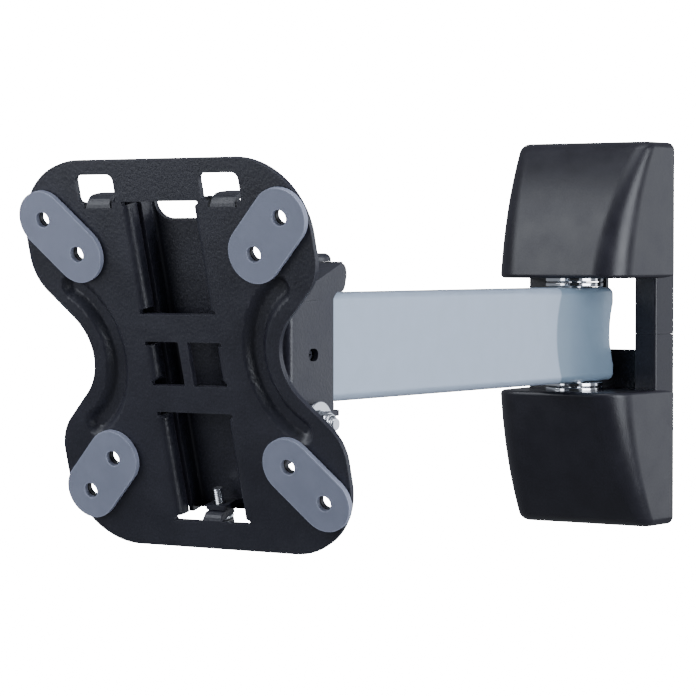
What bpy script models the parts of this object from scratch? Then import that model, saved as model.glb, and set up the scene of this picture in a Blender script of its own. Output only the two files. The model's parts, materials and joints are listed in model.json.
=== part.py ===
"""Full motion TV wall mount: wall unit, swinging arm, swivel bracket and tilting VESA plate.

Metres, +Z up. The origin is on the wall face, at the middle of the wall plate. The mount
reaches out along -Y, and +X is to the right of someone who faces the wall.
"""

from math import atan2, cos, pi, radians, sin, sqrt

import bmesh
import bpy
from mathutils import Matrix, Vector

MM = 0.001
GAP = 0.3 * MM
FIT = 0.1 * MM

# Wall unit
WALL_PLATE_THICK = 2.5 * MM
WALL_PLATE_SIZE = (60 * MM, 152 * MM)
WINDOW_X = (2 * MM, 20.4 * MM)
WINDOW_Z = (-7 * MM, 25 * MM)
WALL_HOLE_Z = 68 * MM
COVER_WIDTH = 66.8 * MM
COVER_TOP = 81.8 * MM
COVER_RIM = 23.9 * MM
COVER_WALL = 2.2 * MM
COVER_DEPTH = 46.4 * MM
COVER_SLOPE = 0.195
COVER_ARC = 94 * MM
LEG_WIDTH = 12.7 * MM
LEG_DEPTH = 12 * MM
HOOD_TAPER = 3 * MM
HOOD_CORNER = 0.3

# Swing pivot
SWING_Y = -27.5 * MM
SWING_BOLT_R = 5 * MM
RING_R = 12.2 * MM
EAR_Z = 25.9 * MM
EAR_THICK = 4 * MM

# Arm: a steel tube on edge
ARM_HALF_X = 10 * MM
ARM_HALF_Z = 20 * MM
ARM_WALL = 2 * MM
ARM_BACK = -11.2 * MM
ARM_FRONT = -235.4 * MM
SLEEVE_R = 7.7 * MM

# Swivel head
SWIVEL_Y = -227.4 * MM
SWIVEL_BOLT_R = 4 * MM
HEAD_HALF_X = 16 * MM
SHEET = 2 * MM
HEAD_FRONT = -265.7 * MM
HEAD_BACK = -238.2 * MM
HEAD_TOP = 31.4 * MM
HEAD_FLOOR = -23.2 * MM
HEAD_SLOPE = ((-262.7 * MM, 19.2 * MM), (-231.3 * MM, 31.4 * MM))
FRICTION_R = 7.6 * MM
SPACER_R = 7 * MM

# Tilt joint and TV plate; their frame lies in the plate, with its origin on the tilt bolt
TILT_AXIS = (0, -252.6 * MM, -26.3 * MM)
TILT_REST = radians(15.5)
TILT_BOLT_R = 2.5 * MM
PAD_FACE = -48.1 * MM
PLATE_MID = 38.4 * MM
PAD_THICK = 2 * MM
PLATE_THICK = 2 * MM
PLATE_HALF = (60.4 * MM, 70.2 * MM)
VESA_HALF = (50 * MM, 37.5 * MM)
PLATE_HOLE_R = 2.7 * MM
PAD_R = 10.2 * MM
SLOT_HALF = 14 * MM
UPPER_SLOT = (15.4 * MM, 55.6 * MM)
LOWER_SLOT = (-60.3 * MM, -20 * MM)
HOOK_U = 26.3 * MM
LOCK_TAB = -57.2 * MM
CHANNEL_HALF = 14 * MM
CHANNEL_DEPTH = 14.2 * MM
LUG_X = HEAD_HALF_X + GAP

PARTS = "full_motion_tv_wall_mount"
CUTTERS = "cutters"


# ---------------------------------------------------------------- scene and materials
def clear_scene():
    for obj in list(bpy.data.objects):
        bpy.data.objects.remove(obj, do_unlink=True)
    for name in (PARTS, CUTTERS):
        bpy.context.scene.collection.children.link(bpy.data.collections.new(name))


def material(name, colour, roughness, metallic):
    mat = bpy.data.materials.new(name)
    mat.use_nodes = True
    shader = mat.node_tree.nodes["Principled BSDF"]
    shader.inputs["Base Color"].default_value = (*colour, 1)
    shader.inputs["Roughness"].default_value = roughness
    shader.inputs["Metallic"].default_value = metallic
    return mat


def make_materials():
    return {
        "black_steel": material("black_steel", (0.025, 0.025, 0.03), 0.5, 0.2),
        "silver_arm": material("silver_arm", (0.33, 0.37, 0.4), 0.38, 0.5),
        "black_plastic": material("black_plastic", (0.03, 0.026, 0.03), 0.45, 0),
        "grey_pad": material("grey_pad", (0.16, 0.165, 0.19), 0.6, 0),
        "chrome": material("chrome", (0.75, 0.77, 0.8), 0.12, 1),
        "zinc": material("zinc", (0.7, 0.72, 0.74), 0.3, 1),
        "nylon": material("nylon", (0.05, 0.05, 0.055), 0.5, 0),
    }


# ---------------------------------------------------------------- building blocks
def add_mesh(name, bm, collection=PARTS):
    """A mesh object made from a bmesh, with outward faces."""
    bmesh.ops.recalc_face_normals(bm, faces=bm.faces)
    mesh = bpy.data.meshes.new(name)
    bm.to_mesh(mesh)
    bm.free()
    obj = bpy.data.objects.new(name, mesh)
    bpy.data.collections[collection].objects.link(obj)
    return obj


def box(name, low, high, collection=PARTS):
    bm = bmesh.new()
    size = [b - a for a, b in zip(low, high)]
    middle = Vector([(a + b) / 2 for a, b in zip(low, high)])
    bmesh.ops.create_cube(bm, size=1, matrix=Matrix.Translation(middle) @ Matrix.Diagonal((*size, 1)))
    return add_mesh(name, bm, collection)


def arc(centre, radius, start, end, steps):
    """Points on an arc from angle start to angle end, in degrees."""
    points = []
    for i in range(steps + 1):
        angle = radians(start + (end - start) * i / steps)
        points.append((centre[0] + radius * cos(angle), centre[1] + radius * sin(angle)))
    return points


def rounded(corners, steps=3):
    """A closed outline from (a, b, radius) corners, each turned by an arc of that radius."""
    points = []
    count = len(corners)
    for i, (a, b, radius) in enumerate(corners):
        here = Vector((a, b))
        if radius <= 0:
            points.append((a, b))
            continue
        before = (Vector(corners[i - 1][:2]) - here).normalized()
        after = (Vector(corners[(i + 1) % count][:2]) - here).normalized()
        half = before.angle(after) / 2
        middle = here + (before + after).normalized() * (radius / sin(half))
        first = here + before * (radius / (sin(half) / cos(half))) - middle
        last = here + after * (radius / (sin(half) / cos(half))) - middle
        start = atan2(first.y, first.x)
        turn = (atan2(last.y, last.x) - start + pi) % (2 * pi) - pi
        for j in range(steps + 1):
            angle = start + turn * j / steps
            points.append((middle.x + radius * cos(angle), middle.y + radius * sin(angle)))
    return points


def prism(name, outlines, low, high, axis="Z", collection=PARTS):
    """Flat outlines, holes among them, filled and extruded from low to high along an axis.

    Outline points are (x, y) for axis Z, (x, z) for axis Y and (y, z) for axis X.
    """
    curve = bpy.data.curves.new(name, "CURVE")
    curve.dimensions = "2D"
    curve.fill_mode = "BOTH"
    curve.extrude = (high - low) / 2
    for outline in outlines:
        spline = curve.splines.new("POLY")
        spline.points.add(len(outline) - 1)
        for point, (a, b) in zip(spline.points, outline):
            point.co = (a, b, 0, 1)
        spline.use_cyclic_u = True
    turned_to = {
        "Z": Matrix.Identity(3),
        "Y": Matrix(((1, 0, 0), (0, 0, -1), (0, 1, 0))),
        "X": Matrix(((0, 0, 1), (1, 0, 0), (0, 1, 0))),
    }[axis]
    along = {"Z": (0, 0, 1), "Y": (0, 1, 0), "X": (1, 0, 0)}[axis]
    drawn = bpy.data.objects.new(name + "_curve", curve)
    bpy.context.scene.collection.objects.link(drawn)
    bpy.context.view_layer.update()
    graph = bpy.context.evaluated_depsgraph_get()
    mesh = bpy.data.meshes.new_from_object(drawn.evaluated_get(graph))
    bm = bmesh.new()
    bm.from_mesh(mesh)
    bmesh.ops.remove_doubles(bm, verts=bm.verts, dist=1e-6)
    middle = Vector(along) * (low + high) / 2
    bmesh.ops.transform(bm, matrix=Matrix.Translation(middle) @ turned_to.to_4x4(), verts=bm.verts)
    bpy.data.objects.remove(drawn)
    bpy.data.meshes.remove(mesh)
    return add_mesh(name, bm, collection)


def circle(centre, radius, steps=24):
    return arc(centre, radius, 0, 360 - 360 / steps, steps - 1)


def turned(name, profile, place=(0, 0, 0), axis="Z", steps=28, closed=False, collection=PARTS):
    """A profile of (radius, height) points, top to bottom, turned about an axis through place."""
    mesh = bpy.data.meshes.new(name)
    points = [(r, 0, h) for r, h in profile]
    edges = [(i, i + 1) for i in range(len(points) - 1)]
    if closed:
        edges.append((len(points) - 1, 0))
    mesh.from_pydata(points, edges, [])
    obj = bpy.data.objects.new(name, mesh)
    bpy.data.collections[collection].objects.link(obj)
    obj.location = place
    obj.rotation_euler = {"Z": (0, 0, 0), "X": (0, pi / 2, 0), "Y": (-pi / 2, 0, 0)}[axis]
    screw = obj.modifiers.new("turn", "SCREW")
    screw.steps = steps
    screw.render_steps = steps
    screw.use_merge_vertices = True
    screw.merge_threshold = 1e-6
    screw.use_smooth_shade = True
    return obj


def ring(name, outer, inner, low, high, place=(0, 0, 0), axis="Z"):
    """A washer, bush or sleeve."""
    profile = [(outer, high), (outer, low), (inner, low), (inner, high)]
    return turned(name, profile, place, axis, steps=24, closed=True)


def hexagon(across_flats, turn=0):
    return arc((0, 0), across_flats / sqrt(3), turn, turn + 300, 5)


def hex_nut(name, across_flats, bore, low, high, place=(0, 0, 0), axis="Z"):
    """A hexagon nut with a bore, between low and high along its axis."""
    obj = prism(name, [hexagon(across_flats, 30), circle((0, 0), bore, 20)], low, high)
    obj.location = place
    obj.rotation_euler = {"Z": (0, 0, 0), "X": (0, pi / 2, 0)}[axis]
    return obj


def combine(obj, other, operation):
    """Adds, cuts or intersects with another mesh, which becomes a hidden helper."""
    for collection in list(other.users_collection):
        collection.objects.unlink(other)
    bpy.data.collections[CUTTERS].objects.link(other)
    other.hide_render = True
    other.display_type = "WIRE"
    modifier = obj.modifiers.new(operation.lower(), "BOOLEAN")
    modifier.operation = operation
    modifier.object = other


def cut(obj, other):
    combine(obj, other, "DIFFERENCE")


def join(obj, other):
    combine(obj, other, "UNION")


def bolt(name, head, shank, place, axis="Z", across_flats=None):
    """A bolt: head (radius, low, high) and shank (radius, low); a hexagon head if it has flats."""
    head_r, low, high = head
    shank_r, end = shank
    if across_flats is None:
        chamfer = (high - low) / 3
        profile = [(0, high), (head_r - chamfer, high), (head_r, high - chamfer), (head_r, low)]
    else:
        profile = [(0, low + 0.2 * MM), (shank_r, low + 0.2 * MM)]
    profile += [(shank_r, low), (shank_r, end + 0.6 * MM), (shank_r - 0.6 * MM, end), (0, end)]
    obj = turned(name, profile, place, axis, steps=24)
    if across_flats is not None:
        shape = prism(name + "_hexagon", [hexagon(across_flats, 30)], low, high)
        shape.location = place
        shape.rotation_euler = obj.rotation_euler
        join(obj, shape)
    return obj


def dress(obj, mat, parent=None, smooth=True):
    """Gives an object its material and parent, and shades its round faces smooth."""
    obj.data.materials.clear()
    obj.data.materials.append(mat)
    if parent is not None:
        obj.parent = parent
        for modifier in obj.modifiers:
            if modifier.type == "BOOLEAN":
                modifier.object.parent = parent
    if smooth and obj.data.polygons:
        obj.data.shade_smooth()
        obj.data.set_sharp_from_angle(angle=radians(35))
    return obj


def axis_empty(name, place, tilt=0.0):
    """An empty on a joint's axis, which the pieces that move with it are parented to."""
    empty = bpy.data.objects.new(name, None)
    bpy.context.scene.collection.objects.link(empty)
    empty.location = place
    empty.rotation_euler = (tilt, 0, 0)
    return empty


def hang(obj, empty):
    """Parents a piece that was built in world coordinates to an empty, and leaves it in place."""
    obj.parent = empty
    obj.location = Vector(obj.location) - Vector(empty.location)


# ---------------------------------------------------------------- wall unit
def wall_plate(mats):
    half_x = WALL_PLATE_SIZE[0] / 2
    half_z = WALL_PLATE_SIZE[1] / 2
    edge = 4 * MM
    outline = rounded([
        (-half_x, -half_z, edge),
        (half_x, -half_z, edge),
        (half_x, half_z, edge),
        (-half_x, half_z, edge),
    ])
    low, high = WINDOW_Z
    near, far = WINDOW_X
    corner = 1 * MM
    openings = []
    for side in (-1, 1):
        openings.append(rounded([
            (side * near, low, corner),
            (side * far, low, corner),
            (side * far, high, corner),
            (side * near, high, corner),
        ], 2))
    for z in (-WALL_HOLE_Z, WALL_HOLE_Z):
        openings.append(circle((0, z), 3.5 * MM))
    plate = prism("wall_plate", [outline, *openings], -WALL_PLATE_THICK, 0, "Y")
    dress(plate, mats["black_steel"])


def ear(mats, name, side):
    """A steel angle on the wall plate whose lug holds one end of the swing bolt."""
    back = -WALL_PLATE_THICK - GAP
    low, high = sorted((side * EAR_Z, side * (EAR_Z + EAR_THICK)))
    half = 15 * MM
    lug = [(-half, back), *arc((0, SWING_Y), half, 180, 360, 12), (half, back)]
    body = prism(name, [lug, circle((0, SWING_Y), SWING_BOLT_R + FIT)], low, high)
    near, far = sorted((side * EAR_Z, side * 58 * MM))
    join(body, box(name + "_flange", (-half, back - EAR_THICK, near), (half, back, far)))
    top = side * (EAR_Z + EAR_THICK - 1 * MM)
    for x in (-half, half - 3 * MM):
        gusset = [(back - 1 * MM, top), (-24 * MM, top), (back - 1 * MM, side * 44 * MM)]
        join(body, prism(f"{name}_gusset_{x > 0}", [gusset], x, x + 3 * MM, "X"))
    dress(body, mats["black_steel"])


def cover_depth(height):
    """How far the hood's front stands off the wall: a straight taper that bows in to its end."""
    start = 29 * MM
    run = max(height - COVER_RIM, 0)
    bow = max(height - start, 0)
    return COVER_DEPTH - COVER_SLOPE * run - (COVER_ARC - sqrt(COVER_ARC**2 - bow**2)) * 0.92


def hood_section(height, inset, back):
    """A hood's outline at one height, from the left of the wall round the front to the right.

    The front corners' radius is a share of the hood's depth, so they soften towards the rim.
    """
    depth = cover_depth(height) - inset
    half_back = COVER_WIDTH / 2 - inset
    half_front = half_back - HOOD_TAPER * depth / COVER_DEPTH
    corner = HOOD_CORNER * cover_depth(height) - inset
    corners = [
        (-half_back, back, 0),
        (-half_front, -depth, corner),
        (half_front, -depth, corner),
        (half_back, back, 0),
    ]
    return rounded(corners, 6)


def hood_block(name, side, levels, back):
    """A solid lofted through (height, inset) levels and closed at both ends and at the back."""
    bm = bmesh.new()
    loops = []
    for height, inset in levels:
        outline = hood_section(height, inset, back)
        loops.append([bm.verts.new((x, y, side * height)) for x, y in outline])
    for lower, upper in zip(loops, loops[1:]):
        for i in range(len(lower)):
            bm.faces.new((lower[i - 1], lower[i], upper[i], upper[i - 1]))
    bm.faces.new(loops[0])
    bm.faces.new(loops[-1])
    return add_mesh(name, bm)


def hood_levels(low, high, edge, extra, steps):
    """Levels from low to high with a rounded far edge, all set in by extra."""
    levels = [(low + (high - edge - low) * i / steps, extra) for i in range(steps + 1)]
    for angle in (30, 60, 90):
        turn = radians(angle)
        levels.append((high - edge + edge * sin(turn), extra + edge * (1 - cos(turn))))
    return levels


def cover(mats, name, side):
    """A moulded hood over one ear, open at the wall, with two legs that frame the window."""
    outer = [(COVER_RIM, 0.7 * MM), *hood_levels(COVER_RIM + 0.7 * MM, COVER_TOP, 3.5 * MM, 0, 8)]
    shell = hood_block(name, side, outer, 0)
    near = COVER_WIDTH / 2 - LEG_WIDTH
    far = COVER_WIDTH / 2 - 0.1 * MM
    low, high = sorted((side * GAP / 2, side * (COVER_RIM + 1 * MM)))
    for direction in (-1, 1):
        first, last = sorted((direction * near, direction * far))
        join(shell, box(f"{name}_leg_{direction}", (first, -LEG_DEPTH, low), (last, -0.05 * MM, high)))
    floor = COVER_RIM + 2 * MM
    inner = hood_levels(floor, COVER_TOP - COVER_WALL, 2 * MM, COVER_WALL, 6)
    cut(shell, hood_block(name + "_inside", side, inner, 2 * MM))
    for direction in (-1, 1):
        first, last = sorted((direction * (near + 2 * MM), direction * (far - 2.1 * MM)))
        low, high = sorted((side * 2.3 * MM, side * (floor + 0.5 * MM)))
        low_corner = (first, -LEG_DEPTH + 2 * MM, low)
        cut(shell, box(f"{name}_hollow_{direction}", low_corner, (last, 2.1 * MM, high)))
    half = WALL_PLATE_SIZE[0] / 2 + 0.8 * MM
    low, high = sorted((-side * 1 * MM, side * (WALL_PLATE_SIZE[1] / 2 + 1 * MM)))
    back = -WALL_PLATE_THICK - GAP
    cut(shell, box(name + "_seat", (-half, back, low), (half, 2.2 * MM, high)))
    first, last = sorted((side * (COVER_RIM - 1 * MM), side * (floor + 1 * MM)))
    bush_hole = circle((0, SWING_Y), RING_R + 0.5 * MM, 28)
    cut(shell, prism(name + "_bush_hole", [bush_hole], first, last))
    dress(shell, mats["black_plastic"])


def swing_pivot(mats):
    """The bolt, nut and washers through the two ears, and the chrome rings that show."""
    place = (0, SWING_Y, 0)
    top = EAR_Z + EAR_THICK
    ring_low, ring_high = ARM_HALF_Z + 2.4 * MM, EAR_Z - GAP
    bore = SWING_BOLT_R + FIT
    dress(ring("upper_ring", RING_R, bore, ring_low, ring_high, place), mats["chrome"])
    dress(ring("lower_ring", RING_R, bore, -ring_high, -ring_low, place), mats["chrome"])
    washer = (top + GAP, top + GAP + 2 * MM)
    dress(ring("swing_bolt_washer", 10 * MM, bore, *washer, place), mats["zinc"])
    dress(ring("swing_nut_washer", 10 * MM, bore, -washer[1], -washer[0], place), mats["zinc"])
    seat = washer[1] + GAP
    head = (0, seat, seat + 6.4 * MM)
    shank = (SWING_BOLT_R, -seat - 10 * MM)
    dress(bolt("swing_bolt", head, shank, place, across_flats=16 * MM), mats["zinc"])
    nut = hex_nut("swing_nut", 16 * MM, bore, -seat - 8 * MM, -seat, place)
    dress(nut, mats["zinc"], smooth=False)


# ---------------------------------------------------------------- arm
def arm(mats, axis):
    """The tube, the sleeves through its two ends, its bushes and the plug in its free end."""
    tube = prism(
        "arm_tube",
        [
            rounded([
                (-ARM_HALF_X, -ARM_HALF_Z, 3 * MM),
                (ARM_HALF_X, -ARM_HALF_Z, 3 * MM),
                (ARM_HALF_X, ARM_HALF_Z, 3 * MM),
                (-ARM_HALF_X, ARM_HALF_Z, 3 * MM),
            ]),
            rounded([
                (-ARM_HALF_X + ARM_WALL, -ARM_HALF_Z + ARM_WALL, 1 * MM),
                (ARM_HALF_X - ARM_WALL, -ARM_HALF_Z + ARM_WALL, 1 * MM),
                (ARM_HALF_X - ARM_WALL, ARM_HALF_Z - ARM_WALL, 1 * MM),
                (-ARM_HALF_X + ARM_WALL, ARM_HALF_Z - ARM_WALL, 1 * MM),
            ], 2),
        ],
        ARM_FRONT,
        ARM_BACK,
        "Y",
    )
    scoop_r = 30 * MM
    scoop = (ARM_BACK - 3 * MM + scoop_r, 0)
    cut(tube, prism("arm_scoop", [arc(scoop, scoop_r, 140, 220, 16)], -15 * MM, 15 * MM, "X"))
    for name, y in (("wall", SWING_Y), ("tip", SWIVEL_Y)):
        hole = prism(f"arm_{name}_hole", [circle((0, y), SLEEVE_R + GAP, 28)], -25 * MM, 25 * MM)
        cut(tube, hole)
    dress(tube, mats["silver_arm"])
    hang(tube, axis)
    rest = ARM_HALF_Z
    bores = {"wall": (SWING_Y, SWING_BOLT_R + FIT), "tip": (SWIVEL_Y, SWIVEL_BOLT_R + FIT)}
    for name, (y, bore) in bores.items():
        sleeve = ring(f"arm_{name}_sleeve", SLEEVE_R, bore, -rest, rest, (0, y, 0))
        dress(sleeve, mats["zinc"])
        hang(sleeve, axis)
    bore = SWING_BOLT_R + FIT
    for name, side in (("upper_bush", 1), ("lower_bush", -1)):
        low, high = sorted((side * (rest + GAP), side * (rest + 2.1 * MM)))
        bush = ring(name, RING_R, bore, low, high, (0, SWING_Y, 0))
        dress(bush, mats["chrome"])
        hang(bush, axis)
    inside_x = ARM_HALF_X - ARM_WALL - GAP
    inside_z = ARM_HALF_Z - ARM_WALL - GAP
    plug = prism(
        "arm_plug",
        [rounded([
            (-inside_x, -inside_z, 1 * MM),
            (inside_x, -inside_z, 1 * MM),
            (inside_x, inside_z, 1 * MM),
            (-inside_x, inside_z, 1 * MM),
        ], 2)],
        ARM_FRONT - 1.5 * MM,
        ARM_FRONT + 1.5 * MM,
        "Y",
    )
    cut(plug, prism("plug_relief", [circle((0, SWIVEL_Y), SLEEVE_R + GAP, 28)], -25 * MM, 25 * MM))
    dress(plug, mats["black_plastic"])
    hang(plug, axis)


# ---------------------------------------------------------------- swivel head
def swivel_bracket(mats, axis):
    """A bent sheet: a front web, two cheeks with rear wings, a sloped top, a flange and a floor."""
    half = HEAD_HALF_X
    bend = 3 * MM
    plan = rounded([
        (-half, HEAD_BACK + 12 * MM, 0),
        (-half, HEAD_FRONT, bend),
        (half, HEAD_FRONT, bend),
        (half, HEAD_BACK + 12 * MM, 0),
        (half - SHEET, HEAD_BACK + 12 * MM, 0),
        (half - SHEET, HEAD_FRONT + SHEET, bend - SHEET),
        (-half + SHEET, HEAD_FRONT + SHEET, bend - SHEET),
        (-half + SHEET, HEAD_BACK + 12 * MM, 0),
    ])
    body = prism("swivel_bracket", [plan], -36 * MM, HEAD_TOP + 1 * MM)
    bolt_y, bolt_z = TILT_AXIS[1:]
    lug_r = 7 * MM
    over_arm = ARM_HALF_Z + 0.4 * MM
    (front_y, front_z), (back_y, back_z) = HEAD_SLOPE
    notch = (-242.5 * MM, HEAD_FLOOR)
    side = [
        *rounded([
            (HEAD_FRONT - 1 * MM, front_z, 0),
            (front_y, front_z, 0),
            (back_y, back_z, 2.5 * MM),
            (-228.9 * MM, 27.5 * MM, 4 * MM),
            (-231.2 * MM, over_arm, 2.5 * MM),
            (-236 * MM, over_arm, 1.5 * MM),
            (HEAD_BACK, 18 * MM, 0),
            (HEAD_BACK, notch[1], 0),
        ]),
        notch,
        *arc((bolt_y, bolt_z), lug_r, 10, -190, 14),
        (HEAD_FRONT - 1 * MM, bolt_z + lug_r * sin(radians(10))),
    ]
    combine(body, prism("head_side", [side], -half - 2 * MM, half + 2 * MM, "X"), "INTERSECT")
    web = (-12 * MM, HEAD_FRONT, -20 * MM)
    join(body, box("head_web", web, (12 * MM, HEAD_FRONT + SHEET, front_z - FIT)))
    inner = half - SHEET / 2
    slope = [
        (HEAD_FRONT + FIT, front_z - FIT),
        (front_y, front_z - FIT),
        (back_y, back_z - FIT),
        (back_y, back_z - SHEET),
        (front_y, front_z - 1.2 * SHEET),
        (HEAD_FRONT + FIT, front_z - 1.2 * SHEET),
    ]
    join(body, prism("head_slope", [slope], -inner, inner, "X"))
    flange_r = 10.8 * MM
    top = [
        (-inner, back_y - 1.2 * MM),
        (inner, back_y - 1.2 * MM),
        (inner, SWIVEL_Y - 3.5 * MM),
        *arc((0, SWIVEL_Y), flange_r, 0, 180, 12),
        (-inner, SWIVEL_Y - 3.5 * MM),
    ]
    join(body, prism("head_top_flange", [top], HEAD_TOP - SHEET, HEAD_TOP))
    floor_r = 9.5 * MM
    floor = [
        (-inner, HEAD_FRONT + 1 * MM),
        (inner, HEAD_FRONT + 1 * MM),
        (inner, HEAD_BACK),
        (floor_r, HEAD_BACK + 1 * MM),
        *arc((0, SWIVEL_Y), floor_r, 0, 180, 12),
        (-floor_r, HEAD_BACK + 1 * MM),
        (-inner, HEAD_BACK),
    ]
    join(body, prism("head_floor", [floor], HEAD_FLOOR - SHEET, HEAD_FLOOR))
    room = circle((0, SWIVEL_Y), SPACER_R + GAP)
    cut(body, prism("head_spacer_room", [room], ARM_HALF_Z, HEAD_TOP - SHEET))
    pin = circle((0, SWIVEL_Y), SWIVEL_BOLT_R + FIT)
    cut(body, prism("head_pin_hole", [pin], -40 * MM, 40 * MM))
    cross = circle((bolt_y, bolt_z), TILT_BOLT_R + FIT, 20)
    cut(body, prism("head_bolt_hole", [cross], -20 * MM, 20 * MM, "X"))
    grub = circle((-251.2 * MM, -1.9 * MM), 2.3 * MM, 20)
    cut(body, prism("head_grub_hole", [grub], 5 * MM, 20 * MM, "X"))
    dress(body, mats["black_steel"])
    hang(body, axis)


def swivel_pivot(mats, axis):
    """The vertical bolt of the head, with its spacer, friction washers and nut."""
    place = (0, SWIVEL_Y, 0)
    bore = SWIVEL_BOLT_R + FIT
    rest = ARM_HALF_Z
    pieces = [
        (ring("upper_friction_washer", FRICTION_R, bore, rest + GAP, rest + 1.6 * MM, place), "nylon"),
        (ring("swivel_spacer", SPACER_R, bore, rest + 1.9 * MM, HEAD_TOP - SHEET - GAP, place), "zinc"),
        (ring("lower_friction_washer", FRICTION_R, bore, HEAD_FLOOR + GAP, -rest - GAP, place), "nylon"),
    ]
    under = HEAD_FLOOR - SHEET - GAP
    pieces.append((ring("swivel_nut_washer", 8 * MM, bore, under - 1.5 * MM, under, place), "zinc"))
    nut_top = under - 1.5 * MM - GAP
    nut = hex_nut("swivel_nut", 13 * MM, bore, nut_top - 7 * MM, nut_top, place)
    head = (6.5 * MM, HEAD_TOP + GAP, HEAD_TOP + 3.4 * MM)
    shank = (SWIVEL_BOLT_R, nut_top - 8.5 * MM)
    pieces.append((nut, "zinc"))
    pieces.append((bolt("swivel_bolt", head, shank, place), "black_steel"))
    grub = turned(
        "swivel_grub_screw",
        [(0, 15.2 * MM), (2 * MM, 15.2 * MM), (2 * MM, 10.6 * MM), (1.2 * MM, 10 * MM), (0, 10 * MM)],
        (0, -251.2 * MM, -1.9 * MM),
        "X",
        steps=16,
    )
    pieces.append((grub, "black_steel"))
    for piece, finish in pieces:
        dress(piece, mats[finish])
        hang(piece, axis)


# ---------------------------------------------------------------- tilting plate
def on_plate(u, v):
    """Plate coordinates about the plate's middle, as (x, z) in the tilt frame."""
    return (u, v + PLATE_MID)


def plate_outline():
    """The hourglass outline: round corners, 45 degree shoulders and a round waist each side."""
    half_u, half_v = PLATE_HALF
    corner, shoulder, waist = 27 * MM, 18 * MM, 19.6 * MM
    waist_u = 39.8 * MM
    reach = half_u - waist_u - waist * (1 - cos(radians(45)))
    turn_v = waist * sin(radians(45)) + reach
    centre = waist_u + waist
    quarter = rounded([
        (0, half_v, 0),
        (half_u, half_v, corner),
        (half_u, turn_v, shoulder),
        (half_u - reach, turn_v - reach, 0),
    ], 7)[1:-1]
    right = quarter + arc((centre, 0), waist, 135, 225, 10)
    right += [(u, -v) for u, v in reversed(quarter)]
    left = [(-u, v) for u, v in reversed(right)]
    return [on_plate(u, v) for u, v in right + left]


def window(u, half_u, v_low, v_high, corner=0.6 * MM):
    """A window in the plate, centred at u and reaching half_u each way."""
    return [on_plate(a, b) for a, b in rounded([
        (u - half_u, v_low, corner),
        (u + half_u, v_low, corner),
        (u + half_u, v_high, corner),
        (u - half_u, v_high, corner),
    ], 2)]


def vesa_points():
    """The eight TV screw holes: corners of a 100 mm and of a 75 mm square."""
    return [(sx * h, sz * h) for h in VESA_HALF for sx in (-1, 1) for sz in (-1, 1)]


def plate_box(name, u, v, depth):
    """A box in plate coordinates; depth is measured back from the pads' front."""
    low = (u[0], PAD_FACE + depth[0], v[0] + PLATE_MID)
    high = (u[1], PAD_FACE + depth[1], v[1] + PLATE_MID)
    return box(name, low, high)


def tv_plate(mats, axis):
    """The pressed plate: windows, hook tabs, bent stiffening flanges and a lock tab."""
    front = PAD_THICK + GAP
    back = front + PLATE_THICK
    inside = front + 0.4 * MM
    middle = (-10.4 * MM, 5.6 * MM)
    outlines = [plate_outline()]
    outlines += [window(0, SLOT_HALF, low, high) for low, high in (UPPER_SLOT, LOWER_SLOT)]
    rib_half = 1.9 * MM
    half = (SLOT_HALF - rib_half) / 2
    outlines += [window(side * (rib_half + half), half, *middle) for side in (-1, 1)]
    outlines += [window(side * HOOK_U, 8.1 * MM, 55.5 * MM, 65.2 * MM, 2 * MM) for side in (-1, 1)]
    for h_u, h_v in vesa_points():
        outlines.append([on_plate(u, v) for u, v in circle((h_u, h_v), PLATE_HOLE_R, 16)])
    body = prism("tv_plate", outlines, PAD_FACE + front, PAD_FACE + back, "Y")
    inset = 1.6 * MM
    for i, (low, high) in enumerate((UPPER_SLOT, middle, LOWER_SLOT)):
        for side in (-1, 1):
            across = sorted((side * (SLOT_HALF - 0.4 * MM), side * (SLOT_HALF + 1.6 * MM)))
            along = (low + inset, high - inset)
            join(body, plate_box(f"plate_flange_{i}_{side}", across, along, (inside, 7.7 * MM)))
    for side in (-1, 1):
        across = (side * HOOK_U - 5.2 * MM, side * HOOK_U + 5.2 * MM)
        join(body, plate_box(f"plate_hook_{side}", across, (54 * MM, 56 * MM), (inside, 10 * MM)))
    half = 4.2 * MM
    riser = (LOWER_SLOT[0] - 0.5 * MM, LOCK_TAB - 0.4 * MM)
    join(body, plate_box("plate_lock_riser", (-half, half), riser, (front + 0.1 * MM, back - 0.1 * MM)))
    across = (-half - 0.1 * MM, half + 0.1 * MM)
    join(body, plate_box("plate_lock_tab", across, (LOCK_TAB - SHEET, LOCK_TAB), (inside, 11.6 * MM)))
    lock = circle((0, lock_y()), 2.1 * MM, 16)
    cut(body, prism("plate_lock_hole", [lock], PLATE_MID - 66 * MM, PLATE_MID - 54 * MM))
    dress(body, mats["black_steel"], axis)


def lock_y():
    """Where the lock screw stands behind the plate, in the tilt frame."""
    return PAD_FACE + 8.5 * MM


def pads(mats, axis):
    """Four obround spacer pads on the plate's corners, each over one 100 and one 75 mm hole."""
    names = {(-1, 1): "pad_upper_left", (1, 1): "pad_upper_right",
             (-1, -1): "pad_lower_left", (1, -1): "pad_lower_right"}
    far, near = VESA_HALF
    for (sx, sz), name in names.items():
        lean = 45 * sx * sz
        length = (far - near) * sqrt(2)
        outline = arc((length / 2, 0), PAD_R, -90, 90, 10) + arc((-length / 2, 0), PAD_R, 90, 270, 10)
        turn = radians(lean)
        middle = (far + near) / 2
        points = [on_plate(sx * middle + a * cos(turn) - b * sin(turn),
                           sz * middle + a * sin(turn) + b * cos(turn)) for a, b in outline]
        holes = [[on_plate(u, v) for u, v in circle((sx * h, sz * h), PLATE_HOLE_R, 16)]
                 for h in VESA_HALF]
        pad = prism(name, [points, *holes], PAD_FACE, PAD_FACE + PAD_THICK, "Y")
        dress(pad, mats["grey_pad"], axis)


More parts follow.
